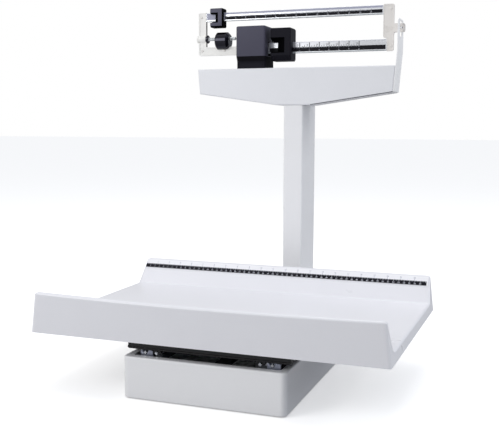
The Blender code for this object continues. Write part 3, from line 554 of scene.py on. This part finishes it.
def make_fulcrum_cover():
    """A moulding open below: a square body, a slanted underside in front and a neck."""
    low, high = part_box("fulcrum_cover")
    neck, slant_top, slant_bottom = 0.005, 0.0245, 0.0145
    corner, brow, wall = 0.0030, 0.0028, 0.002

    def ring(inset, z, front=0.0, radius=corner):
        return [(x, y, z) for x, y in rectangle(low.x + inset, high.x - inset, low.y + front + inset,
                                                high.y - inset, radius)]

    loops = [ring(0.0, low.z, neck), ring(0.0, low.z + slant_bottom, neck), ring(0.0, low.z + slant_top)]
    loops += [ring(inset, high.z - drop) for inset, drop in quarter(brow, 5)]
    outside = loft("fulcrum_cover_shell", loops)
    inside = loft("cover_inside", [
        ring(wall, low.z - 0.005, neck, 0.001), ring(wall, low.z + slant_bottom, neck, 0.001),
        ring(wall, low.z + slant_top, 0.0, 0.001), ring(wall, high.z - wall, 0.0, 0.001)])
    passage = block("cover_passage", (low.x - 0.005, 0.2140, 0.5855), (high.x + 0.005, 0.2312, 0.6135))
    cut(outside, inside, passage)
    for side in (-1, 1):
        middle = (low.x + high.x) / 2 + side * (high.x - low.x) * 0.42
        dent = turned(f"dent_{side}", "y", (middle, low.y + neck - 0.0010, low.z + 0.0075),
                      [(0.0022, 0.0), (0.0016, 0.0018)], 24)
        cut(outside, dent)
    fit(shade(outside), MOULDED, "stand", "charcoal_plastic", "fulcrum_cover")
    # Painted shade on the slant and on everything below it.
    darken(outside, lambda at, facing: at.z < low.z + slant_top - 0.0002, COVER_SLANT_SHADE)
    # Painted shade: the neck's front under the slant gets the poise's darker paint.
    darken(outside, lambda at, facing: at.z < low.z + slant_bottom and facing.y < -0.5, POISE)


# ---------------------------------------------------------------- platform and tray
def make_platform():
    low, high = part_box("platform")
    wall, corner, lip, brow = 0.002, 0.008, 0.0030, 0.003

    def ring(inset, z):
        return box_ring(low, high, inset, z, max(0.001, corner - inset))

    loops = [ring(wall, high.z - wall), ring(wall, low.z + 0.0008), ring(wall - 0.0008, low.z),
             ring(0.0008, low.z), ring(0.0, low.z + 0.0008), ring(0.0, low.z + lip),
             ring(0.0009, low.z + lip + 0.0008), ring(0.0009, high.z - 0.0100), ring(0.0, high.z - 0.0090)]
    loops += [ring(inset, high.z - drop) for inset, drop in quarter(brow, 4)]
    pan = loft("platform_pan", loops)
    fit(shade(pan), BLACK, "platform", "black_paint", "platform")


TRAY_SHEET = 0.0015


class Tray:
    """Sizes of the tray, taken from its CAD box and the platform under it."""

    def __init__(self):
        self.low, self.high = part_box("tray")
        _, platform_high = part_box("platform")
        self.floor = platform_high.z + GAP + TRAY_SHEET
        self.front_top = self.high.z
        self.back_top = self.high.z - 0.0037
        self.crease_y = self.high.y - 0.039
        self.back_y = self.high.y - 0.007
        self.foot_y = self.back_y - 0.001
        self.lean = 0.125
        self.widening = {-1: 0.0024, 1: 0.0070}

    def end(self, side, y, z):
        """X of an end's leaning plane."""
        widest = self.low.x if side < 0 else self.high.x
        drop = self.lean * (z - self.low.z)
        return widest - side * (self.widening[side] * (self.foot_y - y) + drop + 0.00002)

    def profile(self, inset):
        """The upper side from the front's foot to the rear flange's lower edge, inside by inset."""
        corners = [
            (self.low.y, self.low.z, 0.0), (self.low.y, self.front_top, 0.004),
            (self.low.y + 0.0085, self.front_top, 0.004), (self.low.y + 0.0270, self.floor, 0.020),
            (self.crease_y, self.floor, 0.005), (self.back_y, self.back_top, 0.003),
            (self.high.y, self.back_top - 0.0005, 0.002), (self.high.y, self.back_top - 0.009, 0.0),
        ]
        lines = []
        for (y, z, _), (next_y, next_z, _) in zip(corners, corners[1:]):
            run = Vector((next_y - y, next_z - z)).normalized()
            lines.append((Vector((y, z)) + Vector((run.y, -run.x)) * inset, run))
        moved = [tuple(lines[0][0])]
        for (at, run), (next_at, next_run), (_, _, radius) in zip(lines, lines[1:], corners[1:]):
            bend = run.x * next_run.y - run.y * next_run.x
            gap = next_at - at
            meet = at + run * ((gap.x * next_run.y - gap.y * next_run.x) / bend)
            moved.append((*meet, max(0.0004, radius + (inset if bend > 0 else -inset))))
        moved.append((self.high.y - inset, self.back_top - 0.009))
        open_line = rounded([*moved, (self.foot_y, self.low.z)], 7)
        return open_line[:-1]

    def sag(self, share, y, z):
        """How far the front wall hangs below straight, most at its middle and top."""
        if y > self.low.y + 0.0270:
            return 0.0
        height = (z - self.low.z) / (self.front_top - self.low.z)
        inward = (self.low.y + 0.0270 - y) / 0.0270
        return (1 - share * share) * (0.0020 + 0.0020 * height) * inward


def make_tray():
    """The pressing's skin, rounded over to its two leaning ends, then thickened inwards."""
    tray = Tray()
    across, deep = 0.0060, 0.0034      # how wide and how deep the rounding at each end is
    steps, columns = 7, 24
    work = bmesh.new()
    lines = []
    for side in (-1, 1):
        rings = []
        for step in range(steps + 1):
            turn = math.radians(90 * step / steps)
            back = across * (1 - math.sin(turn))
            rings.append([(tray.end(side, y, z) - side * back, y, z)
                          for y, z in tray.profile(deep * (1 - math.cos(turn)))])
        last = rings[-1]
        foot = (tray.end(side, tray.foot_y, tray.low.z), tray.foot_y, tray.low.z)
        work.faces.new([work.verts.new(point) for point in [*last, foot]])
        if side < 0:
            lines = rings[::-1]
            left_edge = rings[0]
        else:
            for step in range(1, columns):
                share = -1 + 2 * step / columns
                mix = step / columns
                lines.append([(left[0] + (right[0] - left[0]) * mix, left[1],
                               left[2] - tray.sag(share, left[1], left[2]))
                              for left, right in zip(left_edge, rings[0])])
            lines += rings
    grid = [[work.verts.new(point) for point in line] for line in lines]
    for first, second in zip(grid, grid[1:]):
        for index in range(len(first) - 1):
            work.faces.new((first[index], first[index + 1], second[index + 1], second[index]))
    bmesh.ops.remove_doubles(work, verts=work.verts, dist=1e-6)
    bmesh.ops.recalc_face_normals(work, faces=work.faces)
    mesh = bpy.data.meshes.new("tray_sheet")
    work.to_mesh(mesh)
    work.free()
    if max(mesh.polygons, key=lambda face: face.area).normal.z < 0:
        mesh.flip_normals()
    sheet = put("tray_sheet", mesh)
    thick = sheet.modifiers.new("sheet", "SOLIDIFY")
    thick.thickness = TRAY_SHEET
    thick.offset = -1.0
    thick.use_even_offset = False
    apply(sheet)
    for vert in sheet.data.vertices:
        vert.co = [min(max(at, least), most) for at, least, most in zip(vert.co, tray.low, tray.high)]
    fit(shade(sheet, 50), TRAY_WHITE, "platform", "white_paint", "tray")


def make_rule():
    """The length rule: a white strip, with inches above a black band of centimetres."""
    tray = Tray()
    low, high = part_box("length_rule")
    up = Vector((0.0, tray.back_y - tray.crease_y, tray.back_top - tray.floor)).normalized()
    along = Vector((1.0, 0.0, 0.0))
    out = along.cross(up)
    height = (high.z - low.z - 0.0003) / up.z
    foot = Vector((low.x, low.y + abs(out.y) * 0.0006, low.z))

    def slab(name, start, end, lift, thick, left, right):
        loops = []
        for x in (left, right):
            corner = Vector((x, foot.y, foot.z)) + out * lift
            loops.append([corner + up * start, corner + up * end, corner + up * end + out * thick,
                          corner + up * start + out * thick])
        return loft(name, loops)

    strip = slab("rule_strip", 0.0, height, 0.0, 0.0006, low.x, high.x)
    fit(soften(strip, 0.0002), STRIP, "platform", "rule_strip", "length_rule")
    inch, zero = 0.0254, low.x + 0.0009
    band_low, band_high = 0.0006, 0.0091
    edge = high.x - 0.0030
    face = 0.0006
    band = slab("rule_band", band_low, band_high, face, PRINT, zero, edge)
    fit(band, INK, "platform", "rule_strip")

    sheet = Sheet((zero, foot.y + out.y * (face + PRINT), foot.z + out.z * (face + PRINT)), along, up)
    count = int((edge - zero) / 0.010)
    for tick in range(count * 2 + 1):
        tall = 0.0030 if tick % 2 == 0 else 0.0018
        sheet.mark(tick * 0.005 - 0.0003, band_high - tall, 0.0006, tall)
    for number in range(1, count):
        sheet.words(str(number), number * 0.010, band_low + 0.0012, 0.0030)
    sheet.done("rule_centimetres", WHITE_INK, "platform", "rule_strip")

    sheet = Sheet((zero, foot.y + out.y * face, foot.z + out.z * face), along, up)
    for tick in range(int((edge - zero) / inch * 8) + 1):
        tall = 0.0042 if tick % 8 == 0 else 0.0020 if tick % 4 == 0 else 0.0010
        wide = 0.0005 if tick % 8 == 0 else 0.0003
        sheet.mark(tick * inch / 8 - wide / 2, band_high, wide, tall)
    for number in range(1, int((edge - zero) / inch) + 1):
        sheet.words(str(number), number * inch, band_high + 0.0046, 0.0028)
    sheet.done("rule_inches", GREY_INK, "platform", "rule_strip")


# ---------------------------------------------------------------- beam
def make_bars():
    """The two graduated bars: a thin upper edge, a black band and a rail below it."""
    for node, look_name in (("beam_upper_bar", "upper"), ("beam_lower_bar", "lower")):
        low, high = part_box(node)
        middle = (low.y + high.y) / 2
        thin, rail, rail_tall = 0.0020, (high.y - low.y) / 2, 0.003
        profile = rounded([
            (middle - rail, low.z, 0.0006), (middle + rail, low.z, 0.0006),
            (middle + rail, low.z + rail_tall, 0.0006), (middle + thin, low.z + rail_tall),
            (middle + thin, high.z, 0.0007), (middle - thin, high.z, 0.0007),
            (middle - thin, low.z + rail_tall), (middle - rail, low.z + rail_tall, 0.0006),
        ], 3)
        bar = prism(f"{look_name}_bar", "yz", profile, low.x, high.x)
        if look_name == "lower":
            notches = []
            for index in range(9):
                x = low.x + 0.0557 + index * 0.0205
                corners = [(x - 0.0012, high.z + 0.001), (x, high.z - 0.0014), (x + 0.0012, high.z + 0.001)]
                notches.append(prism(f"notch_{index}", "xz", corners, low.y - 0.002, high.y + 0.002))
            cut(bar, together("notches", notches))
        fit(shade(bar), BAR, "beam", "bar_metal", node)

        face = middle - thin
        if look_name == "lower":
            start, cap_low = 0.004, 0.0012
            band_low, band_high = low.z + 0.0031, low.z + (high.z - low.z) * 0.52
        else:
            start, cap_low = 0.0425, 0.0046
            band_low, band_high = low.z + 0.0031, low.z + 0.0100
            # Painted shade: grey over the upper bar's left end, where the band does not run.
            stub = block("upper_bar_stub", (low.x + 0.001, face - PRINT, low.z + 0.0036),
                         (low.x + start - 0.001, face, high.z - cap_low))
            fit(stub, CAP_SHADE, "beam", "bar_metal")
        band = block(f"{look_name}_bar_band", (low.x + start, face - PRINT, band_low),
                     (high.x - 0.002, face, band_high))
        fit(band, BAND, "beam", "bar_metal")
        # Painted shade along the rail's lower front edge.
        foot = block(f"{look_name}_bar_foot", (low.x + 0.002, low.y - PRINT, low.z + 0.0003),
                     (high.x - 0.002, low.y, low.z + 0.0010))
        fit(foot, EDGE_SHADE, "beam", "bar_metal")
        # Painted shade: a grey strip under the bar's top edge.
        cap = block(f"{look_name}_bar_cap", (low.x + 0.001, face - PRINT, high.z - cap_low),
                    (high.x - 0.002, face, high.z - 0.0007))
        fit(cap, CAP_SHADE, "beam", "bar_metal")
        graduate(look_name, low, high, face, start, band_low, band_high)


def graduate(which, low, high, face, band_start, band_low, band_high):
    """Ticks and numerals on a bar's front."""
    along, up = (1, 0, 0), (0, 0, 1)
    dark = Sheet((low.x, face, 0.0), along, up)
    light = Sheet((low.x, face - PRINT, 0.0), along, up)
    if which == "lower":
        start, pitch, majors, parts = 0.0277, 0.0205, 8, 4
    else:
        start, pitch, majors, parts = 0.0222, 0.0220, 15, 8
    for index in range(majors * parts + 1):
        x = start + index * pitch / parts
        major = index % parts == 0
        if x < band_start + 0.001:
            continue
        if which == "lower":
            tall = high.z - band_high - 0.0016 if major else 0.0040 if index % 2 == 0 else 0.0026
            dark.mark(x - 0.0005, band_high, 0.0014 if major else 0.0009, tall)
        tall = 0.0026 if major else 0.0016
        light.mark(x - 0.0003, band_high - tall, 0.0006, tall)
        if major:
            number = index // parts
            light.words(str(number), x, band_low + 0.0006, 0.0028)
            if which == "lower":
                dark.words(str(number * 2), x - 0.0042, band_high + 0.0028, 0.0036)
            else:
                dark.mark(x - 0.0003, band_high, 0.0006, 0.0018)
    dark.done(f"{which}_bar_ticks", INK, "beam", "bar_metal")
    light.done(f"{which}_bar_numbers", WHITE_INK, "beam", "bar_metal")


def rivets(name, spots, y, body, slot):
    """Low round heads on a plate's front."""
    heads = [turned(f"{name}_{index}", "y", (x, y, z),
                    [(0.0009, -0.0011), (0.0020, -0.0009), (0.0027, -0.0004), (0.0028, 0.0002)], 24)
             for index, (x, z) in enumerate(spots)]
    fit(shade(together(name, heads)), CAST, body, slot)


ARM_TALL = 0.0177              # the left frame's arm
SCREW_BORE = 0.0039            # radius of the holes that the zero screw passes


def raised_plate(name, outline, field, low_y, high_y, depth):
    """A cast plate with a smooth rim round a field that is lower by depth, on both faces."""
    made = prism(name, "xz", outline, low_y, high_y)
    for face, beyond in ((low_y + depth, low_y - 0.001), (high_y - depth, high_y + 0.001)):
        cut(made, prism(f"{name}_field_{face:.4f}", "xz", field, min(face, beyond), max(face, beyond)))
    return made


def make_beam_plates():
    low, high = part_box("beam_left_frame")
    bar_low, bar_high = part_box("beam_lower_bar")
    middle = (bar_low.y + bar_high.y) / 2
    front, back = middle - 0.003, middle + 0.003
    inner, arm_top, arm_end = low.x + 0.0175, low.z + ARM_TALL, high.x
    rim = 0.0026
    outline = rounded([(low.x, low.z, 0.004), (arm_end, low.z), (arm_end, arm_top), (inner, arm_top, 0.002),
                       (inner, high.z, 0.001), (low.x, high.z, 0.004)])
    field = rounded([(low.x + rim, low.z + rim, 0.002), (-0.1245, low.z + rim, 0.001),
                     (-0.1245, arm_top - rim, 0.001), (inner - rim, arm_top - rim, 0.002),
                     (inner - rim, high.z - rim, 0.002), (low.x + rim, high.z - rim, 0.002)])
    frame_plate = raised_plate("left_frame", outline, field, front, back, 0.0006)
    knife_z = (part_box("beam_fulcrum_knife")[0].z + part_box("beam_fulcrum_knife")[1].z) / 2
    for node in ("beam_fulcrum_knife", "beam_load_knife"):
        knife_low, knife_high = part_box(node)
        at = ((knife_low.x + knife_high.x) / 2, front - 0.005, knife_z)
        cut(frame_plate, turned("knife_hole", "y", at, [(0.0033, 0.0), (0.0033, 0.02)], 24))
    screw_low, screw_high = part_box("zero_screw")
    screw_y, screw_z = (screw_low.y + screw_high.y) / 2, (screw_low.z + screw_high.z) / 2
    boss = turned("boss", "x", (0.0, screw_y, screw_z), [
        (0.0068, low.x), (0.0075, low.x + 0.0008), (0.0075, inner - 0.0013), (0.0068, inner - 0.0005)])
    passage = bore("bore", screw_y, screw_z, SCREW_BORE, low.x, inner)
    join(frame_plate, boss)
    cut(frame_plate, passage)
    fit(soften(frame_plate, 0.0003, 2, 40), PALE_CAST, "beam", "nickel_casting", "beam_left_frame")
    # Painted shade: the frame's inner edge facing +X is darkened as if in shadow.
    darken(frame_plate, lambda at, facing: facing.x > 0.7 and at.x < inner + 0.002)
    rivets("left_frame_rivets", ((low.x + 0.0072, high.z - 0.0100), (low.x + 0.0084, low.z + 0.0100),
                                 (low.x + 0.0590, low.z + 0.0100)), front + 0.0006, "beam", "nickel_casting")

    low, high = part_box("beam_right_plate")
    edge = low.x + 0.021
    step_z, bar_end = low.z + 0.0273, low.x + 0.0076
    tip_low, tip_high = low.z + 0.0358, low.z + 0.0528

    outline = rounded([
        (low.x, high.z, 0.001), (low.x, step_z, 0.001), (bar_end, step_z - 0.0035, 0.001),
        (bar_end, low.z, 0.001), (edge, low.z, 0.004), (edge, tip_low, 0.003), (high.x, tip_low, 0.004),
        (high.x, tip_high, 0.004), (edge, tip_high, 0.001), (edge, high.z, 0.003),
    ])
    right = prism("right_plate", "xz", outline, low.y, high.y)
    field = rounded([
        (low.x + 0.0022, high.z - 0.0022, 0.001), (low.x + 0.0022, step_z + 0.002, 0.001),
        (bar_end + 0.0022, step_z - 0.0015, 0.001), (bar_end + 0.0022, low.z + 0.0022, 0.001),
        (edge - 0.0022, low.z + 0.0022, 0.002), (edge - 0.0022, high.z - 0.0022, 0.002),
    ], 4)
    for near, far in ((low.y - 0.001, low.y + 0.0006), (high.y - 0.0006, high.y + 0.001)):
        cut(right, prism("field", "xz", field, near, far))
    tip = rectangle(high.x - 0.0095, high.x - 0.0020, tip_low + 0.0035, tip_high - 0.0035, 0.002)
    cut(right, prism("tip_pocket", "xz", tip, low.y - 0.001, low.y + 0.0008))
    fit(soften(right, 0.0003, 2, 40), CAST, "beam", "nickel_casting", "beam_right_plate")
    arrow = rounded([(edge - 0.0005, (tip_low + tip_high) / 2 + 0.0012), (low.x + 0.0050, tip_low + 0.0118),
                     (low.x + 0.0078, tip_low + 0.0060), (low.x + 0.0062, tip_low + 0.0005)], 2)
    rail = []
    for start, end in zip(arrow, arrow[1:] + arrow[:1]):
        run = Vector((end[0] - start[0], end[1] - start[1]))
        side = Vector((-run.y, run.x)).normalized() * 0.0005
        corners = [(start[0] - side.x, start[1] - side.y), (end[0] - side.x, end[1] - side.y),
                   (end[0] + side.x, end[1] + side.y), (start[0] + side.x, start[1] + side.y)]
        rail.append(prism("arrow_edge", "xz", corners, low.y - 0.0001, low.y + 0.0008))
    fit(together("right_plate_arrow", rail), CAST, "beam", "nickel_casting")
    rivets("right_plate_rivets", ((low.x + 0.0140, high.z - 0.0095), (low.x + 0.0165, low.z + 0.0100)),
           low.y + 0.0006, "beam", "nickel_casting")
    button = turned("tip_button", "y", (high.x - 0.0060, low.y, (tip_low + tip_high) / 2),
                    [(0.0010, -0.0001), (0.0018, 0.0002), (0.0019, 0.0010)], 24)
    fit(shade(button), STEEL, "beam", "nickel_casting")


def make_zero_adjuster():
    """The threaded screw with its knurled knob and collar, and the weight that it drives."""
    low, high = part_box("zero_screw")
    y, z = (low.y + high.y) / 2, (low.z + high.z) / 2
    radius = (high.y - low.y) / 2
    lead, starts, depth, around = 0.003, 3, 0.00018, 36
    loops = []
    length = high.x - low.x
    count = int(length / lead * starts * 6)
    for step in range(count + 1):
        along = length * step / count
        taper = min(1.0, (length - along) / 0.001 + 0.4)
        loop = []
        for index in range(around):
            turn = math.tau * index / around
            phase = (along / lead - index / around) * starts % 1.0
            r = (radius - depth * abs(2 * phase - 1) * 2) * taper
            loop.append((low.x + along, y + r * math.cos(turn), z + r * math.sin(turn)))
        loops.append(loop)
    fit(shade(loft("zero_thread", loops), 60), PALE_STEEL, "zero_screw", "bright_steel", "zero_screw")

    low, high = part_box("zero_knob")
    radius = (high.z - low.z) / 2
    teeth = 36
    outline = []
    for index in range(teeth * 2):
        turn = math.tau * index / teeth / 2
        r = radius - (0.0004 if index % 2 else 0.0)
        outline.append((y + r * math.cos(turn), z + r * math.sin(turn)))
    knob = prism("knurled_knob", "yz", outline, low.x, high.x)
    cut(knob, block("driver_slot", (low.x - 0.001, y - 0.02, z - 0.0006),
                    (low.x + 0.0012, y + 0.02, z + 0.0006)))
    fit(soften(knob, 0.0003, 1, 50), PALE_CAST, "zero_screw", "bright_steel", "zero_knob")

    low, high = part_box("zero_collar")
    radius, edge = (high.z - low.z) / 2, 0.0008
    collar = turned("screw_collar", "x", (0.0, y, z), [
        (radius - edge, low.x), (radius, low.x + edge), (radius, high.x - edge),
        (radius - edge, high.x)], 40)
    cut(collar, bore("collar_bore", y, z, 0.0038, low.x, high.x))
    fit(shade(collar), WEIGHT, "zero_screw", "charcoal_plastic", "zero_collar")

    low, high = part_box("counterweight")
    middle_z, radius = (low.z + high.z) / 2, (high.z - low.z) / 2
    left_cut, right_cut = 0.0025, 0.0050
    profile = [(radius - left_cut - 0.001, low.x), (radius - left_cut, low.x + 0.0003),
               (radius - 0.0002, low.x + left_cut), (radius, low.x + left_cut + 0.0005),
               (radius, high.x - right_cut - 0.0005), (radius - 0.0002, high.x - right_cut),
               (radius - right_cut, high.x - 0.0003), (radius - right_cut - 0.001, high.x)]
    weight = turned("counterweight_barrel", "x", (0.0, y, middle_z), profile, 64)
    frame_low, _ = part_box("beam_left_frame")
    arm_top = frame_low.z + ARM_TALL
    cut(weight, bore("weight_bore", y, z, SCREW_BORE, low.x, high.x),
        block("weight_slot", (low.x - 0.01, y - 0.0036, frame_low.z),
              (high.x + 0.01, y + 0.0036, arm_top + 0.0012)))
    fit(shade(weight, 30), WEIGHT, "counterweight", "charcoal_paint", "counterweight")


# ---------------------------------------------------------------- poises
def window_tool(name, left, front, opening, deep, bottom):
    """A window from an opening at a poise's face to a smaller one by the bar, each (right, low, high)."""
    loops = []
    for y, (right, low, high) in ((front - 0.001, opening), (deep, bottom)):
        loops.append([(left, y, low), (right, y, low), (right, y, high), (left, y, high)])
    return loft(name, loops)


def poise_block(node, bar, slope, corners, chamfers, opening, bottom):
    """A poise's block with a slanted foot, the passage of its bar and a window.

    slope is the foot's depth and height, corners the roundings in front and elsewhere, and chamfers
    each end's (inset, length). The window's opening and bottom are each (right, low, high).
    """
    low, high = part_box(node)
    bar_low, bar_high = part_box(bar)
    bar_y = (bar_low.y + bar_high.y) / 2
    (undercut, slant), (front, corner), (left, right) = slope, corners, chamfers

    def side(inset):
        return rounded([
            (low.y + undercut + inset, low.z + inset, front), (high.y - inset, low.z + inset, corner),
            (high.y - inset, high.z - inset, corner), (low.y + inset, high.z - inset, corner),
            (low.y + inset, low.z + slant + inset, front)])

    ends = ((left[0], low.x), (0.0, low.x + left[1]), (0.0, high.x - right[1]), (right[0], high.x))
    body = loft(f"{node}_block", [[(x, y, z) for y, z in side(inset)] for inset, x in ends])
    tunnel = block("bar_tunnel", (low.x - 0.01, bar_y - 0.0042, bar_low.z - 0.0006),
                   (high.x + 0.01, bar_y + 0.0042, bar_high.z + 0.0006))
    window = window_tool("window", low.x - 0.004, low.y, opening, bar_y - 0.001, bottom)
    return cut(body, tunnel, window), bar_y


def make_small_poise():
    low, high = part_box("small_poise")
    opening = (high.x - 0.0092, low.z + 0.0097, high.z - 0.0086)
    bottom = (high.x - 0.0230, low.z + 0.0097, high.z - 0.0130)
    body, bar_y = poise_block("small_poise", "beam_upper_bar", (0.0025, 0.0030), (0.0, 0.0022),
                              ((0.0010, 0.0010), (0.0015, 0.0020)), opening, bottom)
    fit(soften(body, 0.0003, 2, 40), SMALL_POISE, "small_poise", "charcoal_paint", "small_poise")
    # Painted shade: the underside, the right side and the window's inside get near black.
    darken(body, lambda at, facing: facing.z < -0.4 or facing.x > 0.5
           or (low.y + 0.0006 < at.y < bar_y and low.x + 0.0012 < at.x < high.x - 0.0088
               and low.z + 0.0090 < at.z < high.z - 0.0080))


def make_big_poise():
    low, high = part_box("big_poise")
    opening = (high.x - 0.0118, low.z + 0.0155, low.z + 0.0474)
    bottom = (high.x - 0.0357, low.z + 0.0203, low.z + 0.0362)
    body, bar_y = poise_block("big_poise", "beam_lower_bar", (0.006, 0.0103), (0.002, 0.0028),
                              ((0.0012, 0.0012), (0.0022, 0.0022)), opening, bottom)
    pawl_low, pawl_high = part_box("big_poise_pawl")
    cut(body, block("pawl_pocket", (pawl_low.x - 0.0005, pawl_low.y - 0.0005, pawl_low.z - 0.001),
                    (pawl_high.x + 0.0005, pawl_high.y + 0.0005, pawl_high.z + 0.001)))
    fit(soften(body, 0.0004, 2, 40), POISE, "big_poise", "charcoal_paint", "big_poise")
    # Painted shade: the window's inside gets near black.
    darken(body, lambda at, facing: low.y + 0.0006 < at.y < bar_y
           and low.x + 0.0014 < at.x < high.x - 0.0112 and low.z + 0.0150 < at.z < low.z + 0.0478)


# ---------------------------------------------------------------- brackets that show under the platform
def make_brackets():
    for row in ("front", "rear"):
        for side in ("left", "right"):
            node = f"bearing_stand_{row}_{side}"
            low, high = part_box(node)
            front, back = (low.y, low.y + 0.004) if row == "front" else (high.y - 0.004, high.y)
            x = low.x + 0.0085
            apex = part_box("left_knives_front")[0].z
            corners = [(low.x, low.z, 0.001), (high.x, low.z, 0.001), (high.x, high.z, 0.0015),
                       (x + 0.0064, high.z, 0.0006), (x + 0.0012, apex - 0.0004, 0.0006),
                       (x - 0.0012, apex - 0.0004, 0.0006), (x - 0.0060, high.z, 0.0006),
                       (low.x, high.z, 0.0015)]
            bracket = prism(f"bracket_{row}_{side}", "xz", rounded(corners, 3), front, back)
            foot = block("foot", (low.x + 0.001, min(front, low.y), low.z + 0.0002),
                         (high.x - 0.001, max(back, high.y), low.z + 0.003))
            join(bracket, foot)
            hole = turned("bracket_hole", "y", (high.x - 0.0045, low.y - 0.01, high.z - 0.0200),
                          [(0.0020, 0.0), (0.0020, 0.04)], 24)
            cut(bracket, hole)
            fit(soften(bracket, 0.0003, 2, 40), BRACKET, "stand", "bright_steel", node)


# ---------------------------------------------------------------- looks of the CAD nodes that stay
def dress_nodes():
    looks = {
        IRON: ("column_socket", "fulcrum_stand", "transfer_hanger", "main_fulcrum_stand", "left_lever",
               "right_lever", "main_lever", "transfer_lever"),
        BLACK: ("platform_leg_front_left", "platform_leg_front_right", "platform_leg_rear_left",
                "platform_leg_rear_right"),
        STEEL: ("fulcrum_bearing_front", "fulcrum_bearing_rear", "nose_bearing", "main_fulcrum_knife",
                "main_load_knife", "draft_rod", "transfer_fulcrum_knife", "transfer_link_knife",
                "transfer_load_knife", "beam_link", "beam_splice_plate", "beam_fulcrum_knife",
                "beam_load_knife", "big_poise_pawl", "left_knives_front", "left_knives_rear",
                "right_knives_front", "right_knives_rear"),
    }
    for look, names in looks.items():
        for name in names:
            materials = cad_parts[name].data.materials
            materials.clear()
            materials.append(look)


# ---------------------------------------------------------------- stage, light and camera
def grey(value):
    return (value, value, value, 1.0)


def camera_sees(tree, lit, lit_output, seen, seen_output, output):
    """Shows the camera one shader, and everything that light reaches the other."""
    path = add_node(tree, "LightPath")
    switch = add_node(tree, "MixShader")
    wire(tree, path, "Is Camera Ray", switch, "Fac")
    wire(tree, lit, lit_output, switch, 1)
    wire(tree, seen, seen_output, switch, 2)
    wire(tree, switch, "Shader", output, "Surface")


def make_floor():
    """A pale floor that looks nearly white, and throws back less light than it shows."""
    half = 30.0
    mesh = bpy.data.meshes.new("floor")
    corners = [(-half, -half, 0), (half, -half, 0), (half, half, 0), (-half, half, 0)]
    mesh.from_pydata(corners, [], [(0, 1, 2, 3)])
    floor = put("floor", mesh)
    paint = surface("floor_paint", grey(FLOOR_PAINT)[:3], 0.8, spread=0.01, grain=40, bump=0.0)
    tree = paint.node_tree
    shader = tree.nodes["Principled BSDF"]
    settle(shader, Specular_IOR_Level=0.0)
    shown = add_node(tree, "BsdfDiffuse", Color=grey(FLOOR_SHOWN))
    lift = add_node(tree, "Emission", Strength=FLOOR_LIFT)
    lifted = add_node(tree, "AddShader")
    wire(tree, shown, "BSDF", lifted, 0)
    wire(tree, lift, "Emission", lifted, 1)
    camera_sees(tree, shader, "BSDF", lifted, "Shader", tree.nodes["Material Output"])
    mesh.materials.append(paint)


def make_world():
    """White behind the object, and a studio bright above, dimmer beside and cooler on the right."""
    world = bpy.data.worlds.new("studio")
    bpy.context.scene.world = world
    world.use_nodes = True
    tree = world.node_tree
    place = add_node(tree, "TexCoord")
    axes = add_node(tree, "SeparateXYZ")
    wire(tree, place, "Generated", axes, "Vector")

    height = add_node(tree, "ValToRGB")
    ramp = height.color_ramp
    ramp.elements[0].position, ramp.elements[0].color = 0.45, grey(WORLD_LOW)
    ramp.elements[1].position, ramp.elements[1].color = 1.0, grey(WORLD_TOP)
    ramp.elements.new(0.52).color = grey(WORLD_SIDE)
    upward = add_node(tree, "MapRange", From_Min=-1.0)
    wire(tree, axes, "Z", upward, "Value")
    wire(tree, upward, "Result", height, "Fac")

    across = add_node(tree, "MapRange", From_Min=-0.2, From_Max=0.8)
    wire(tree, axes, "X", across, "Value")
    cool = tree.nodes.new("ShaderNodeMix")
    cool.data_type = "RGBA"
    cool.blend_type = "MULTIPLY"
    settle(cool, B=WORLD_COOL)
    wire(tree, across, "Result", cool, "Factor")
    wire(tree, height, "Color", cool, "A")
    lit = tree.nodes["Background"]
    wire(tree, cool, "Result", lit, "Color")
    seen = add_node(tree, "Background", Color=grey(1.0))
    camera_sees(tree, lit, "Background", seen, "Background", tree.nodes["World Output"])


def softbox(name, place, target, width, height, power):
    light = bpy.data.lights.new(name, "AREA")
    light.shape = "RECTANGLE"
    light.size, light.size_y = width, height
    light.energy = power
    lamp = bpy.data.objects.new(name, light)
    bpy.context.scene.collection.objects.link(lamp)
    lamp.location = place
    lamp.rotation_euler = (Vector(target) - Vector(place)).to_track_quat("-Z", "Y").to_euler()


def make_lights():
    middle = (0.0, 0.0, 0.30)
    softbox("top_box", (0.1, 0.45, 2.7), middle, 1.5, 1.5, TOP_POWER)
    softbox("key_box", (-1.75, -2.1, 1.35), middle, 1.7, 1.7, KEY_POWER)
    softbox("fill_box", (2.3, 0.1, 1.45), middle, 1.2, 1.2, FILL_POWER)


def make_camera():
    yaw, pitch, roll = 0.3521, -0.1160, 0.0033
    forward = Vector((-math.sin(yaw) * math.cos(pitch), math.cos(yaw) * math.cos(pitch), math.sin(pitch)))
    right = Vector((math.cos(yaw), math.sin(yaw), 0.0))
    up = right.cross(forward)
    tilted_right = right * math.cos(roll) + up * math.sin(roll)
    tilted_up = up * math.cos(roll) - right * math.sin(roll)
    turn = Matrix((tilted_right, tilted_up, -forward)).transposed().to_4x4()
    lens = bpy.data.cameras.new("camera")
    lens.lens, lens.sensor_width, lens.sensor_fit = 59.32, 36.0, "HORIZONTAL"
    lens.clip_start, lens.clip_end = 0.05, 100.0
    camera = bpy.data.objects.new("camera", lens)
    bpy.context.scene.collection.objects.link(camera)
    camera.matrix_world = Matrix.Translation((0.4993, -1.4187, 0.4389)) @ turn
    bpy.context.scene.camera = camera


make_base()
make_column()
make_head()
make_trig_loop()
make_fulcrum_cover()
make_platform()
make_tray()
make_rule()
make_bars()
make_beam_plates()
make_zero_adjuster()
make_small_poise()
make_big_poise()
make_brackets()
dress_nodes()
make_floor()
make_world()
make_lights()
make_camera()
bpy.context.scene.view_settings.view_transform = "Standard"
